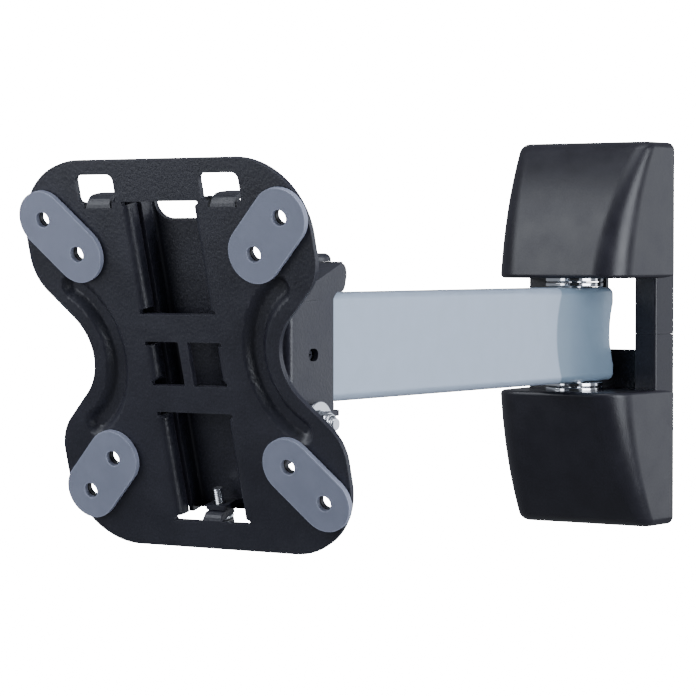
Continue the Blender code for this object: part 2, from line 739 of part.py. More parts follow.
def tilt_bracket(mats, axis):
    """A channel behind the plate, with two lugs that reach back outside the swivel bracket."""
    half = CHANNEL_HALF
    front = PAD_FACE + 8.2 * MM
    web = PAD_FACE + CHANNEL_DEPTH
    plan = rounded([
        (-half, front, 0),
        (-half + SHEET, front, 0),
        (-half + SHEET, web, 1 * MM),
        (half - SHEET, web, 1 * MM),
        (half - SHEET, front, 0),
        (half, front, 0),
        (half, web + SHEET, 2.5 * MM),
        (-half, web + SHEET, 2.5 * MM),
    ])
    low, top = PLATE_MID + LOCK_TAB + GAP, PLATE_MID + 54 * MM
    body = prism("tilt_bracket", [plan], low, top)
    throat = rounded([
        (-half + 3 * MM, PLATE_MID + 46.2 * MM, 6 * MM),
        (half - 3 * MM, PLATE_MID + 46.2 * MM, 6 * MM),
        (half - 3 * MM, top + 5 * MM, 0),
        (-half + 3 * MM, top + 5 * MM, 0),
    ], 5)
    cut(body, prism("bracket_throat", [throat], web - 1.5 * MM, web + 6 * MM, "Y"))
    lug_r = 7 * MM
    for side in (-1, 1):
        first, last = sorted((side * LUG_X, side * (LUG_X + SHEET)))
        lug = [
            (web + 1 * MM, -13.5 * MM),
            *arc((0, 0), lug_r, -70, 80, 10),
            (web + 1 * MM, 8.5 * MM),
        ]
        join(body, prism(f"bracket_lug_{side}", [lug], first, last, "X"))
        inner, outer = sorted((side * (half - 3 * MM), side * (LUG_X + SHEET - 0.3 * MM)))
        wing_low = (inner, web + 0.3 * MM, -14 * MM)
        wing_high = (outer, web + SHEET - 0.1 * MM, 9 * MM)
        join(body, box(f"bracket_wing_{side}", wing_low, wing_high))
    foot_low = (-4.4 * MM, PAD_FACE + 5.4 * MM, low + 0.05 * MM)
    join(body, box("bracket_foot", foot_low, (4.4 * MM, web + 1 * MM, low + 1.7 * MM)))
    lock = circle((0, lock_y()), 2.1 * MM, 16)
    cut(body, prism("bracket_lock_hole", [lock], low - 3 * MM, low + 2 * MM))
    cross = circle((0, 0), TILT_BOLT_R + FIT, 20)
    cut(body, prism("bracket_bolt_hole", [cross], -22 * MM, 22 * MM, "X"))
    dress(body, mats["black_steel"], axis)


def tilt_pivot(mats, axis):
    """The cross bolt through the lugs and cheeks, with its washers and locking nut."""
    bore = TILT_BOLT_R + FIT
    face = LUG_X + SHEET + GAP
    pieces = []
    for name, side in (("right", 1), ("left", -1)):
        low, high = sorted((side * face, side * (face + 1.4 * MM)))
        washer = ring(f"tilt_washer_{name}", 8 * MM, bore, low, high, axis="X")
        pieces.append((washer, "zinc"))
    seat = face + 1.4 * MM + GAP
    nut = hex_nut("tilt_nut", 8 * MM, bore, seat + 0.6 * MM, seat + 4.8 * MM, axis="X")
    collar = ring("tilt_lock_washer", 4.4 * MM, bore, seat - GAP / 2, seat + 0.4 * MM, axis="X")
    bolt_end = turned(
        "tilt_bolt",
        [
            (0, seat + 6.6 * MM),
            (TILT_BOLT_R - 0.5 * MM, seat + 6.6 * MM),
            (TILT_BOLT_R, seat + 6.1 * MM),
            (TILT_BOLT_R, -seat),
            (4.6 * MM, -seat),
            (4.6 * MM, -seat - 2 * MM),
            (3.4 * MM, -seat - 3.2 * MM),
            (0, -seat - 3.2 * MM),
        ],
        axis="X",
        steps=24,
    )
    pieces += [(nut, "zinc"), (collar, "zinc"), (bolt_end, "zinc")]
    for piece, finish in pieces:
        dress(piece, mats[finish], axis)


def lock_screw(mats, axis):
    """The screw that stands up through the plate's lock tab and keeps the plate on its channel."""
    tab_low = PLATE_MID + LOCK_TAB - SHEET
    tip = PLATE_MID - 49.5 * MM
    profile = [
        (0, tip),
        (1.4 * MM, tip),
        (1.9 * MM, tip - 0.5 * MM),
        (1.9 * MM, tab_low - 1.6 * MM),
        (3.6 * MM, tab_low - 1.6 * MM),
        (3.6 * MM, tab_low - 3.4 * MM),
        (2.8 * MM, tab_low - 4.2 * MM),
        (0, tab_low - 4.2 * MM),
    ]
    screw = turned("lock_screw", profile, (0, lock_y(), 0), steps=20)
    dress(screw, mats["zinc"], axis)
    clip = ring("lock_washer", 4.2 * MM, 2.2 * MM, tab_low - 1.3 * MM, tab_low - GAP, (0, lock_y(), 0))
    dress(clip, mats["zinc"], axis)


def main():
    clear_scene()
    mats = make_materials()
    wall_plate(mats)
    ear(mats, "upper_ear", 1)
    ear(mats, "lower_ear", -1)
    cover(mats, "upper_cover", 1)
    cover(mats, "lower_cover", -1)
    swing_pivot(mats)
    arm(mats, axis_empty("swing_axis", (0, SWING_Y, 0)))
    swivel_axis = axis_empty("swivel_axis", (0, SWIVEL_Y, 0))
    swivel_bracket(mats, swivel_axis)
    swivel_pivot(mats, swivel_axis)
    tilt_axis = axis_empty("tilt_axis", TILT_AXIS, TILT_REST)
    tv_plate(mats, tilt_axis)
    pads(mats, tilt_axis)
    tilt_bracket(mats, tilt_axis)
    tilt_pivot(mats, tilt_axis)
    lock_screw(mats, tilt_axis)


main()
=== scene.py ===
"""Looks of the full motion TV wall mount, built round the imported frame.

Metres, +Z up, the origin on the wall. Pieces of the TV plate are drawn in the plate's own
frame, whose origin is on the tilt bolt, and are then turned into place.
"""

import json
from math import atan2, cos, floor, pi, radians, sin, sqrt

import bmesh
import bpy
import numpy as np
from mathutils import Matrix, Vector
from mathutils.geometry import delaunay_2d_cdt


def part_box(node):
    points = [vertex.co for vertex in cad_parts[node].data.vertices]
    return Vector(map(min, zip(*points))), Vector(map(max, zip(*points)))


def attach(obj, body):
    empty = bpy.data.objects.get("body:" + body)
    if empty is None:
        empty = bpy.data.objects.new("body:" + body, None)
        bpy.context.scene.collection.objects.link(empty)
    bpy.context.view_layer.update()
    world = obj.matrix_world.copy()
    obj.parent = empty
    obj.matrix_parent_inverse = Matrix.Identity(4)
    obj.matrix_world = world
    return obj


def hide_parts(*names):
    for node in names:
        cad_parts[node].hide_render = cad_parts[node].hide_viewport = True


MM = 0.001
GAP = 0.3 * MM
SQUARE = ((-1, -1), (1, -1), (1, 1), (-1, 1))

# View, and the pale studio round it
VIEW_PLACE = (0.5813, -1.0948, 0.03445)
VIEW_DOWN = 1.91
VIEW_ROUND = 33.13
LENS = 146.97
FLOOR_Z = -0.7
ROOM_R = 8
BACKDROP_GLOW = 20
SKY_STRENGTH = 0.27

# Relief, and the reach of the edge wear and painted edge highlight of the finishes
RELIEF = 0.35 * MM
EDGE_REACH = 0.7 * MM

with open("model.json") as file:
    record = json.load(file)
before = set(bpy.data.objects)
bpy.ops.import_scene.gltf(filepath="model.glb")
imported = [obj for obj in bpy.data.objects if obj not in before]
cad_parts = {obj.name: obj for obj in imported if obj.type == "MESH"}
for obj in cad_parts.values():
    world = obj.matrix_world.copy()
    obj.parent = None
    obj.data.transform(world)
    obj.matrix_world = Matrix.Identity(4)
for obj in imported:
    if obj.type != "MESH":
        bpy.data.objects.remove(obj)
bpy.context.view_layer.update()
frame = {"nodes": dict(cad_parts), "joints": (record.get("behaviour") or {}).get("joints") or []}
JOINTS = {joint["name"]: joint for joint in frame["joints"]}

# Pivots, from the frame
SWING = Vector(JOINTS["arm_swing"]["pos_m"])
SWIVEL = Vector(JOINTS["head_swivel"]["pos_m"])
TILT = Vector(JOINTS["plate_tilt"]["pos_m"])
LEAN = atan2(-JOINTS["lock_screw_slide"]["axis"][1], JOINTS["lock_screw_slide"]["axis"][2])
TO_WORLD = Matrix.Translation(TILT) @ Matrix.Rotation(LEAN, 4, "X")

# TV plate, in its own frame
PAD_FACE = -48.1 * MM
PLATE_MID = 38.4 * MM
PAD_THICK = 2 * MM
PLATE_FRONT = PAD_FACE + PAD_THICK + GAP
SHEET = 2 * MM
PLATE_HALF = (60.4 * MM, 70.2 * MM)
WAIST_R = 19.6 * MM
WAIST_U = 39.8 * MM
VESA_HALF = (50 * MM, 37.5 * MM)
PLATE_HOLE_R = 2.7 * MM
PAD_R = 10.2 * MM
BEND = 2.8 * MM
HOOK_R = 4 * MM
SLOT_HALF = 16.2 * MM
SLOTS = ((15.4 * MM, 55.6 * MM), (-10.4 * MM, 5.6 * MM), (-60.3 * MM, -20 * MM))
HOOK_U = 26.3 * MM
LOCK_TAB = -57.2 * MM
RIB_R = 29.6 * MM
RIB_HALF = 4.7 * MM
RIB_DEPTH = 2.8 * MM
RIB_ANGLE = radians(58)
RIB_WALL = 0.55
CHANNEL_HALF = 14 * MM
CHANNEL_DEPTH = 14.2 * MM
LOCK_SCREW_BACK = 8.5 * MM
LOCK_HOLE_R = 2.1 * MM
LUG_R = 7 * MM
TILT_BORE_R = 2.65 * MM

# Wall unit
COVER_WIDTH = 66.8 * MM
COVER_TOP = 81.8 * MM
COVER_RIM = 23.9 * MM
COVER_WALL = 2.2 * MM
COVER_DEPTH = 46.4 * MM
COVER_SLOPE = 0.195
COVER_ARC = 94 * MM
COVER_BOW = 0.92
BOW_START = 29 * MM
HOOD_TAPER = 3 * MM
HOOD_CORNER = 0.3
RIM_EDGE = 1.8 * MM
LEG_WIDTH = 12.7 * MM
LEG_DEPTH = 12 * MM

# Swivel head
HEAD_HALF = 16 * MM
HEAD_FRONT = -265.7 * MM
HEAD_BACK = -238.2 * MM
HEAD_TOP = 31.4 * MM
HEAD_FLOOR = -23.2 * MM
HEAD_SLOPE = ((-262.7 * MM, 19.2 * MM), (-231.3 * MM, 31.4 * MM))
SWIVEL_BORE_R = 4.15 * MM
FRICTION_R = 7.6 * MM
GRUB_Z = -1.9 * MM

# Arm
ARM_HALF = 20 * MM
ARM_WALL = 2 * MM
SCOOP_R = 30 * MM
SCOOP_DEPTH = 3 * MM
RING_R = 12.2 * MM
RING_BORE_R = 5.15 * MM


# ---------------------------------------------------------------- materials
def node(tree, kind, **inputs):
    """A shader node with some of its inputs set."""
    made = tree.nodes.new(kind)
    for name, value in inputs.items():
        made.inputs[name.replace("_", " ")].default_value = value
    return made


def ramp(tree, source, low, high, start, end):
    """Maps a value between low and high onto start to end."""
    made = node(tree, "ShaderNodeMapRange")
    made.inputs["From Min"].default_value = low
    made.inputs["From Max"].default_value = high
    made.inputs["To Min"].default_value = start
    made.inputs["To Max"].default_value = end
    tree.links.new(source, made.inputs["Value"])
    return made.outputs["Result"]


def noise(tree, coordinates, scale, detail, roughness=0.55):
    made = node(tree, "ShaderNodeTexNoise", Scale=scale, Detail=detail, Roughness=roughness)
    tree.links.new(coordinates, made.inputs["Vector"])
    return made.outputs["Fac"]


def finish(name, colour, rough, metal=0.0, grain=900, bump=0.1, mottle=0.12, edge_wear_and_sheen=0.3, coat=0.0,
           specular=0.5, end_shade=None):
    """A procedural finish: mottled colour, uneven roughness, grain in relief, edges lightened as wear and
    painted highlight, and an optional painted shade band.
    """
    mat = bpy.data.materials.new(name)
    mat.use_nodes = True
    tree = mat.node_tree
    shader = tree.nodes["Principled BSDF"]
    shader.inputs["Metallic"].default_value = metal
    shader.inputs["Coat Weight"].default_value = coat
    shader.inputs["Specular IOR Level"].default_value = specular
    coordinates = node(tree, "ShaderNodeTexCoord").outputs["Object"]
    fine = noise(tree, coordinates, grain, 4)
    broad = noise(tree, coordinates, grain / 14, 3)

    shade = node(tree, "ShaderNodeMix")
    shade.data_type = "RGBA"
    shade.inputs["A"].default_value = (*(c * (1 - mottle) for c in colour), 1)
    shade.inputs["B"].default_value = (*(min(c * (1 + mottle), 1) for c in colour), 1)
    tree.links.new(ramp(tree, broad, 0.35, 0.65, 0, 1), shade.inputs["Factor"])

    true_normal = node(tree, "ShaderNodeNewGeometry").outputs["Normal"]
    eased = node(tree, "ShaderNodeBevel", Radius=EDGE_REACH)
    eased.samples = 4
    facing = node(tree, "ShaderNodeVectorMath")
    facing.operation = "DOT_PRODUCT"
    tree.links.new(true_normal, facing.inputs[0])
    tree.links.new(eased.outputs["Normal"], facing.inputs[1])
    edge = facing.outputs["Value"]
    # Edges are lightened partly as wear and partly as a painted highlight
    worn_and_lit_edge = node(tree, "ShaderNodeMix")
    worn_and_lit_edge.data_type = "RGBA"
    worn_and_lit_edge.inputs["B"].default_value = (*(min(c * 1.7 + 0.05, 1) for c in colour), 1)
    tree.links.new(shade.outputs["Result"], worn_and_lit_edge.inputs["A"])
    tree.links.new(ramp(tree, edge, 0.985, 0.88, 0, edge_wear_and_sheen), worn_and_lit_edge.inputs["Factor"])
    tree.links.new(worn_and_lit_edge.outputs["Result"], shader.inputs["Base Color"])
    # An optional painted shade band darkens part of the surface
    if end_shade:
        painted_end_shade(tree, worn_and_lit_edge.outputs["Result"], shader.inputs["Base Color"], *end_shade)

    tree.links.new(ramp(tree, broad, 0.3, 0.7, rough * 0.85, rough * 1.15), shader.inputs["Roughness"])
    relief = node(tree, "ShaderNodeBump", Strength=bump, Distance=RELIEF)
    tree.links.new(fine, relief.inputs["Height"])
    tree.links.new(relief.outputs["Normal"], shader.inputs["Normal"])
    return mat


def painted_end_shade(tree, colour, into, dark, start, bow):
    """Painted shade on the tube's wall end: darkens the colour past start along Y, behind a border that bows
    forward as Z leaves 0.
    """
    place = node(tree, "ShaderNodeTexCoord").outputs["Object"]
    split = node(tree, "ShaderNodeSeparateXYZ")
    tree.links.new(place, split.inputs["Vector"])
    square = node(tree, "ShaderNodeMath")
    square.operation = "MULTIPLY"
    tree.links.new(split.outputs["Z"], square.inputs[0])
    tree.links.new(split.outputs["Z"], square.inputs[1])
    bowed = node(tree, "ShaderNodeMath")
    bowed.operation = "MULTIPLY_ADD"
    bowed.inputs[1].default_value = -bow
    tree.links.new(square.outputs["Value"], bowed.inputs[0])
    tree.links.new(split.outputs["Y"], bowed.inputs[2])
    mix = node(tree, "ShaderNodeMix")
    mix.data_type = "RGBA"
    mix.inputs["B"].default_value = (*dark, 1)
    tree.links.new(colour, mix.inputs["A"])
    tree.links.new(ramp(tree, bowed.outputs["Value"], start, start + 1.5 * MM, 0, 1), mix.inputs["Factor"])
    tree.links.new(mix.outputs["Result"], into)


def make_finishes():
    return {
        "black_steel": finish("powder_coat", (0.0165, 0.017, 0.0255), 0.4, grain=900, bump=0.42,
                              specular=0.45),
        # The silver paint carries a painted shade band over the tube's end towards the wall
        "silver_arm": finish("silver_paint", (0.36, 0.43, 0.54), 0.36, 0.2, grain=1500, bump=0.06,
                             mottle=0.03, edge_wear_and_sheen=0.15, coat=0.1, end_shade=((0.17, 0.235, 0.31), -61.7 * MM, 13.3)),
        "black_plastic": finish("moulded_plastic", (0.0135, 0.013, 0.0185), 0.34, grain=1300, bump=0.12,
                                edge_wear_and_sheen=0.1, specular=0.37),
        # The pads get the strongest lightened edges: wear and a painted edge highlight
        "grey_pad": finish("pad_plastic", (0.205, 0.222, 0.295), 0.55, grain=1600, bump=0.1, mottle=0.04,
                           edge_wear_and_sheen=0.8),
        "chrome": finish("chrome_plate", (0.86, 0.88, 0.92), 0.09, 1.0, grain=700, bump=0.02, mottle=0.02,
                         edge_wear_and_sheen=0.1),
        "zinc": finish("zinc_plate", (0.66, 0.68, 0.72), 0.17, 1.0, grain=900, bump=0.08, mottle=0.06,
                       edge_wear_and_sheen=0.3),
        "nylon": finish("dark_nylon", (0.03, 0.03, 0.035), 0.5, grain=1100, bump=0.1),
    }


FINISHES = make_finishes()


# ---------------------------------------------------------------- building blocks
def add_mesh(name, bm):
    bmesh.ops.recalc_face_normals(bm, faces=bm.faces)
    mesh = bpy.data.meshes.new(name)
    bm.to_mesh(mesh)
    bm.free()
    obj = bpy.data.objects.new(name, mesh)
    bpy.context.scene.collection.objects.link(obj)
    return obj


def evaluated_mesh(obj):
    bpy.context.view_layer.update()
    graph = bpy.context.evaluated_depsgraph_get()
    return bpy.data.meshes.new_from_object(obj.evaluated_get(graph))


def box(name, low, high):
    bm = bmesh.new()
    size = [b - a for a, b in zip(low, high)]
    middle = Vector([(a + b) / 2 for a, b in zip(low, high)])
    bmesh.ops.create_cube(bm, size=1, matrix=Matrix.Translation(middle) @ Matrix.Diagonal((*size, 1)))
    return add_mesh(name, bm)


def arc(centre, radius, start, end, steps):
    """Points on an arc from angle start to angle end, in degrees."""
    points = []
    for i in range(steps + 1):
        angle = radians(start + (end - start) * i / steps)
        points.append((centre[0] + radius * cos(angle), centre[1] + radius * sin(angle)))
    return points


def circle(centre, radius, steps=40):
    return arc(centre, radius, 0, 360 - 360 / steps, steps - 1)


def rounded(corners, steps=8):
    """A closed outline from (a, b, radius) corners, each turned by an arc of that radius."""
    points = []
    count = len(corners)
    for i, (a, b, radius) in enumerate(corners):
        if radius <= 0:
            points.append((a, b))
            continue
        here = Vector((a, b))
        before = (Vector(corners[i - 1][:2]) - here).normalized()
        after = (Vector(corners[(i + 1) % count][:2]) - here).normalized()
        half = before.angle(after) / 2
        middle = here + (before + after).normalized() * (radius / sin(half))
        first = here + before * (radius * cos(half) / sin(half)) - middle
        last = here + after * (radius * cos(half) / sin(half)) - middle
        start = atan2(first.y, first.x)
        turn = (atan2(last.y, last.x) - start + pi) % (2 * pi) - pi
        for j in range(steps + 1):
            angle = start + turn * j / steps
            points.append((middle.x + radius * cos(angle), middle.y + radius * sin(angle)))
    return points


def prism(name, outlines, low, high, axis="Z"):
    """Flat outlines, holes among them, filled and extruded from low to high along an axis."""
    curve = bpy.data.curves.new(name, "CURVE")
    curve.dimensions = "2D"
    curve.fill_mode = "BOTH"
    curve.extrude = (high - low) / 2
    for outline in outlines:
        spline = curve.splines.new("POLY")
        spline.points.add(len(outline) - 1)
        for point, (a, b) in zip(spline.points, outline):
            point.co = (a, b, 0, 1)
        spline.use_cyclic_u = True
    turned_to = {
        "Z": Matrix.Identity(3),
        "Y": Matrix(((1, 0, 0), (0, 0, -1), (0, 1, 0))),
        "X": Matrix(((0, 0, 1), (1, 0, 0), (0, 1, 0))),
    }[axis]
    along = Vector({"Z": (0, 0, 1), "Y": (0, 1, 0), "X": (1, 0, 0)}[axis])
    drawn = bpy.data.objects.new(name + "_curve", curve)
    bpy.context.scene.collection.objects.link(drawn)
    mesh = evaluated_mesh(drawn)
    bm = bmesh.new()
    bm.from_mesh(mesh)
    bmesh.ops.remove_doubles(bm, verts=bm.verts, dist=1e-6)
    bmesh.ops.dissolve_limit(bm, angle_limit=radians(0.5), verts=bm.verts, edges=bm.edges)
    place = Matrix.Translation(along * (low + high) / 2) @ turned_to.to_4x4()
    bmesh.ops.transform(bm, matrix=place, verts=bm.verts)
    bpy.data.objects.remove(drawn)
    bpy.data.meshes.remove(mesh)
    return add_mesh(name, bm)


def combine(obj, other, operation):
    """Adds, cuts or intersects with another mesh for good, and removes that mesh's object."""
    modifier = obj.modifiers.new("combine", "BOOLEAN")
    modifier.operation = operation
    modifier.object = other
    mesh = evaluated_mesh(obj)
    obj.modifiers.clear()
    obj.data = mesh
    bpy.data.objects.remove(other)
    return obj


def cut(obj, other):
    return combine(obj, other, "DIFFERENCE")


def join(obj, other):
    return combine(obj, other, "UNION")


def stood(place, axis):
    """Takes a piece drawn up the Z axis from the origin to place, along Z or X."""
    turn = {"Z": Matrix.Identity(4), "X": Matrix.Rotation(pi / 2, 4, "Y")}[axis]
    return Matrix.Translation(place) @ turn


def turned(name, profile, place=(0, 0, 0), axis="Z", steps=64, closed=False):
    """A profile of (radius, height) points turned about an axis through place."""
    bm = bmesh.new()
    rings = []
    for radius, height in profile:
        if radius <= 0:
            rings.append([bm.verts.new((0, 0, height))])
            continue
        rings.append([
            bm.verts.new((radius * cos(2 * pi * i / steps), radius * sin(2 * pi * i / steps), height))
            for i in range(steps)
        ])
    pairs = list(zip(rings, rings[1:]))
    if closed:
        pairs.append((rings[-1], rings[0]))
    for upper, lower in pairs:
        for i in range(steps):
            first = upper[:1] if len(upper) == 1 else [upper[i - 1], upper[i]]
            last = lower[:1] if len(lower) == 1 else [lower[i], lower[i - 1]]
            corners = first + last
            bm.faces.new(corners)
    bmesh.ops.transform(bm, matrix=stood(place, axis), verts=bm.verts)
    return add_mesh(name, bm)


def rolled(points, radius, steps=3):
    """A profile whose corners are eased by a small radius, except its ends on the axis."""
    eased = []
    for i, (r, h) in enumerate(points):
        on_end = r <= 0 and i in (0, len(points) - 1)
        eased.append((r, h, 0 if on_end else radius))
    return rounded(eased, steps)


def ring(name, outer, inner, low, high, place=(0, 0, 0), axis="Z", edge=0.35 * MM):
    profile = rolled([(outer, high), (outer, low), (inner, low), (inner, high)], edge)
    return turned(name, profile, place, axis, closed=True)


def thread(name, radius, pitch, low, high, place=(0, 0, 0), axis="Z", steps=40):
    """A threaded rod: a V groove wound round a shank, run out at both ends."""
    depth = 0.55 * pitch
    rows = int((high - low) / pitch * 8)
    bm = bmesh.new()
    grid = []
    for j in range(rows + 1):
        height = low + (high - low) * j / rows
        fade = min((height - low) / pitch, (high - height) / pitch, 1)
        row = []
        for i in range(steps):
            phase = (height / pitch - i / steps) % 1
            r = radius - depth * abs(2 * phase - 1) * fade - (1 - fade) * depth * 0.8
            angle = 2 * pi * i / steps
            row.append(bm.verts.new((r * cos(angle), r * sin(angle), height)))
        grid.append(row)
    for lower, upper in zip(grid, grid[1:]):
        for i in range(steps):
            bm.faces.new((lower[i - 1], lower[i], upper[i], upper[i - 1]))
    bm.faces.new(grid[0])
    bm.faces.new(grid[-1])
    bmesh.ops.transform(bm, matrix=stood(place, axis), verts=bm.verts)
    return add_mesh(name, bm)


def hexagon_piece(name, across_flats, low, high, bore=0.0, place=(0, 0, 0), axis="Z"):
    """A hexagon head or nut with its corners turned off by a cone at both ends."""
    corner = across_flats / sqrt(3)
    outline = arc((0, 0), corner, 30, 330, 5)
    body = prism(name, [outline, circle((0, 0), bore)] if bore else [outline], low, high)
    ease = corner - across_flats / 2
    barrel = turned(name + "_barrel", [
        (0, high + 0.01 * MM),
        (across_flats / 2, high + 0.01 * MM),
        (corner + 0.05 * MM, high - ease * 0.7),
        (corner + 0.05 * MM, low + ease * 0.7),
        (across_flats / 2, low - 0.01 * MM),
        (0, low - 0.01 * MM),
    ])
    combine(body, barrel, "INTERSECT")
    body.data.transform(stood(place, axis))
    return body


def flatten(mesh, least=4e-6):
    """Shades flat each level patch of a mesh that is larger than least, in square metres."""
    bm = bmesh.new()
    bm.from_mesh(mesh)
    seen = set()
    for start in bm.faces:
        if start in seen:
            continue
        seen.add(start)
        patch = [start]
        for face in patch:
            for edge in face.edges:
                for other in edge.link_faces:
                    if other not in seen and face.normal.dot(other.normal) > 0.999999:
                        seen.add(other)
                        patch.append(other)
        if sum(face.calc_area() for face in patch) > least:
            for face in patch:
                face.smooth = False
    bm.to_mesh(mesh)
    bm.free()


def put(obj, body, slot, replaced=(), edge=0.0, smooth=35, segments=3, level=True):
    """Finishes a piece: material, eased edges, smooth shading, its body and what it stands for."""
    if edge:
        bevel = obj.modifiers.new("edges", "BEVEL")
        bevel.width = edge
        bevel.segments = segments
        bevel.limit_method = "ANGLE"
        bevel.angle_limit = radians(smooth)
        obj.data = evaluated_mesh(obj)
        obj.modifiers.clear()
    obj.data.materials.clear()
    obj.data.materials.append(FINISHES[slot])
    obj.data.shade_smooth()
    obj.data.set_sharp_from_angle(angle=radians(smooth))
    if level:
        flatten(obj.data)
    even = obj.modifiers.new("even_shading", "WEIGHTED_NORMAL")
    even.keep_sharp = True
    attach(obj, body)
    if replaced:
        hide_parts(*replaced)
    return obj


def put_on_plate(obj, slot, replaced=(), edge=0.0, body="tilt", **options):
    """Turns a piece drawn in the plate's frame into place, and finishes it."""
    obj.data.transform(TO_WORLD)
    return put(obj, body, slot, replaced, edge, **options)


# ---------------------------------------------------------------- TV plate
def plate_outline():
    """Half lobes of round corners and 45 degree shoulders, joined by a round waist each side."""
    half_u, half_v = PLATE_HALF
    corner, shoulder = 27 * MM, 18 * MM
    reach = half_u - WAIST_U - WAIST_R * (1 - cos(radians(45)))
    turn_v = WAIST_R * sin(radians(45)) + reach
    quarter = rounded([
        (0, half_v, 0),
        (half_u, half_v, corner),
        (half_u, turn_v, shoulder),
        (half_u - reach, turn_v - reach, 0),
    ], 24)[1:-1]
    right = quarter + arc((WAIST_U + WAIST_R, 0), WAIST_R, 135, 225, 36)
    right += [(u, -v) for u, v in reversed(quarter)]
    return right + [(-u, v) for u, v in reversed(right)]


def bend_length(depth, radius):
    """Flat length of a tab that is bent square and reaches back to depth behind the pads' front."""
    front = PAD_THICK + GAP
    return radius * pi / 2 + depth - front - radius


FLANGE = bend_length(7.6 * MM, BEND)
HOOK = bend_length(9.9 * MM, HOOK_R)
LOCK = bend_length(11.4 * MM, BEND)
HOOK_BEND = 53.2 * MM
LOCK_BEND = LOCK_TAB - BEND


def side_slot(low, high, inner):
    """One side of a slot in the flat sheet, with the strip that is bent back into a flange."""
    relief = 1.5 * MM
    tip = SLOT_HALF - FLANGE
    return rounded([
        (inner, low, 0.5 * MM if inner else 0),
        (SLOT_HALF, low, 0.7 * MM),
        (SLOT_HALF, low + relief, 0.5 * MM),
        (tip, low + relief, 0.4 * MM),
        (tip, high - relief, 0.4 * MM),
        (SLOT_HALF, high - relief, 0.5 * MM),
        (SLOT_HALF, high, 0.7 * MM),
        (inner, high, 0.5 * MM if inner else 0),
    ], 3)


def mirrored(points):
    return [(-u, v) for u, v in reversed(points)]


def slot_outlines():
    """The five central openings of the flat sheet."""
    upper, middle, lower = SLOTS
    right = side_slot(*upper, 0)[1:-1]
    outlines = [[(0, upper[0]), *right, (0, upper[1]), *mirrored(right)]]
    bar = 1.9 * MM
    right = side_slot(*middle, bar)
    outlines += [right, mirrored(right)]
    tab = 4.2 * MM
    clear = tab + 0.7 * MM
    right = side_slot(*lower, 0)[1:-1]
    foot = rounded([
        (0, LOCK_BEND + LOCK, 0),
        (tab, LOCK_BEND + LOCK, 1.2 * MM),
        (tab, LOCK_BEND, 0.3 * MM),
        (clear, LOCK_BEND, 0.3 * MM),
        (clear, lower[0], 0.3 * MM),
        (SLOT_HALF, lower[0], 0),
    ], 4)[1:-1]
    side = foot + right
    outlines.append([*side, (0, lower[1]), *mirrored(side), (0, LOCK_BEND + LOCK)])
    return outlines


def hook_outline(middle):
    """A hook window of the flat sheet, with its tab rising from the lower edge."""
    half, low, high = 8.1 * MM, 55.2 * MM, 65.2 * MM
    tab = 5.2 * MM
    clear = tab + 0.8 * MM
    side = rounded([
        (0, HOOK_BEND + HOOK, 0),
        (tab, HOOK_BEND + HOOK, 3.2 * MM),
        (tab, HOOK_BEND, 0.3 * MM),
        (clear, HOOK_BEND, 0.35 * MM),
        (clear, low, 0.3 * MM),
        (half, low, 1.6 * MM),
        (half, high, 2.4 * MM),
        (0, high, 0),
    ], 6)[1:-1]
    return [(middle + u, v) for u, v in side + mirrored(side)]


def inside(points, loops):
    """Even-odd test of each point against a set of loops."""
    odd = np.zeros(len(points), bool)
    x, y = points[:, 0], points[:, 1]
    for loop in loops:
        ends = np.array(loop)
        for (x0, y0), (x1, y1) in zip(ends, np.roll(ends, -1, 0)):
            if y0 == y1:
                continue
            crosses = (y0 > y) != (y1 > y)
            odd ^= crosses & (x < x0 + (y - y0) * (x1 - x0) / (y1 - y0))
    return odd


def bent(length, radius):
    """Where a point of the outer face goes, at a flat length past the bend line."""
    if length <= 0:
        return length, 0.0
    angle = min(length / radius, pi / 2)
    straight = max(length - radius * pi / 2, 0)
    return radius * sin(angle), radius * (1 - cos(angle)) + straight


def rib_depth(u, v):
    """How far the rib that runs round each waist is pressed back, at a point of the sheet."""
    centre = WAIST_U + WAIST_R
    along, across = centre - abs(u), v
    angle = atan2(across, along)
    if abs(angle) <= RIB_ANGLE:
        away = abs(sqrt(along**2 + across**2) - RIB_R)
    else:
        side = RIB_ANGLE if angle > 0 else -RIB_ANGLE
        away = sqrt((along - RIB_R * cos(side)) ** 2 + (across - RIB_R * sin(side)) ** 2)
    share = min(max((RIB_HALF - away) / (RIB_HALF * RIB_WALL), 0), 1)
    return RIB_DEPTH * share * share * (3 - 2 * share)


def pressed(u, v):
    """The place in the plate's frame of a point of the flat sheet's front."""
    side = 1 if u > 0 else -1
    for low, high in SLOTS:
        in_flange = low + 1.2 * MM < v < high - 1.2 * MM and abs(u) > SLOT_HALF - FLANGE - 0.1 * MM
        if in_flange and abs(u) < SLOT_HALF:
            shift, depth = bent(SLOT_HALF - abs(u), BEND)
            return side * (SLOT_HALF - shift), PLATE_FRONT + depth, v + PLATE_MID
    if abs(abs(u) - HOOK_U) < 5.6 * MM and HOOK_BEND < v < HOOK_BEND + HOOK + 0.1 * MM:
        shift, depth = bent(v - HOOK_BEND, HOOK_R)
        return u, PLATE_FRONT + depth, HOOK_BEND + shift + PLATE_MID
    if abs(u) < 4.6 * MM and LOCK_BEND < v < LOCK_BEND + LOCK + 0.1 * MM:
        shift, depth = bent(v - LOCK_BEND, BEND)
        return u, PLATE_FRONT + depth, LOCK_BEND + shift + PLATE_MID
    return u, PLATE_FRONT + rib_depth(u, v), v + PLATE_MID


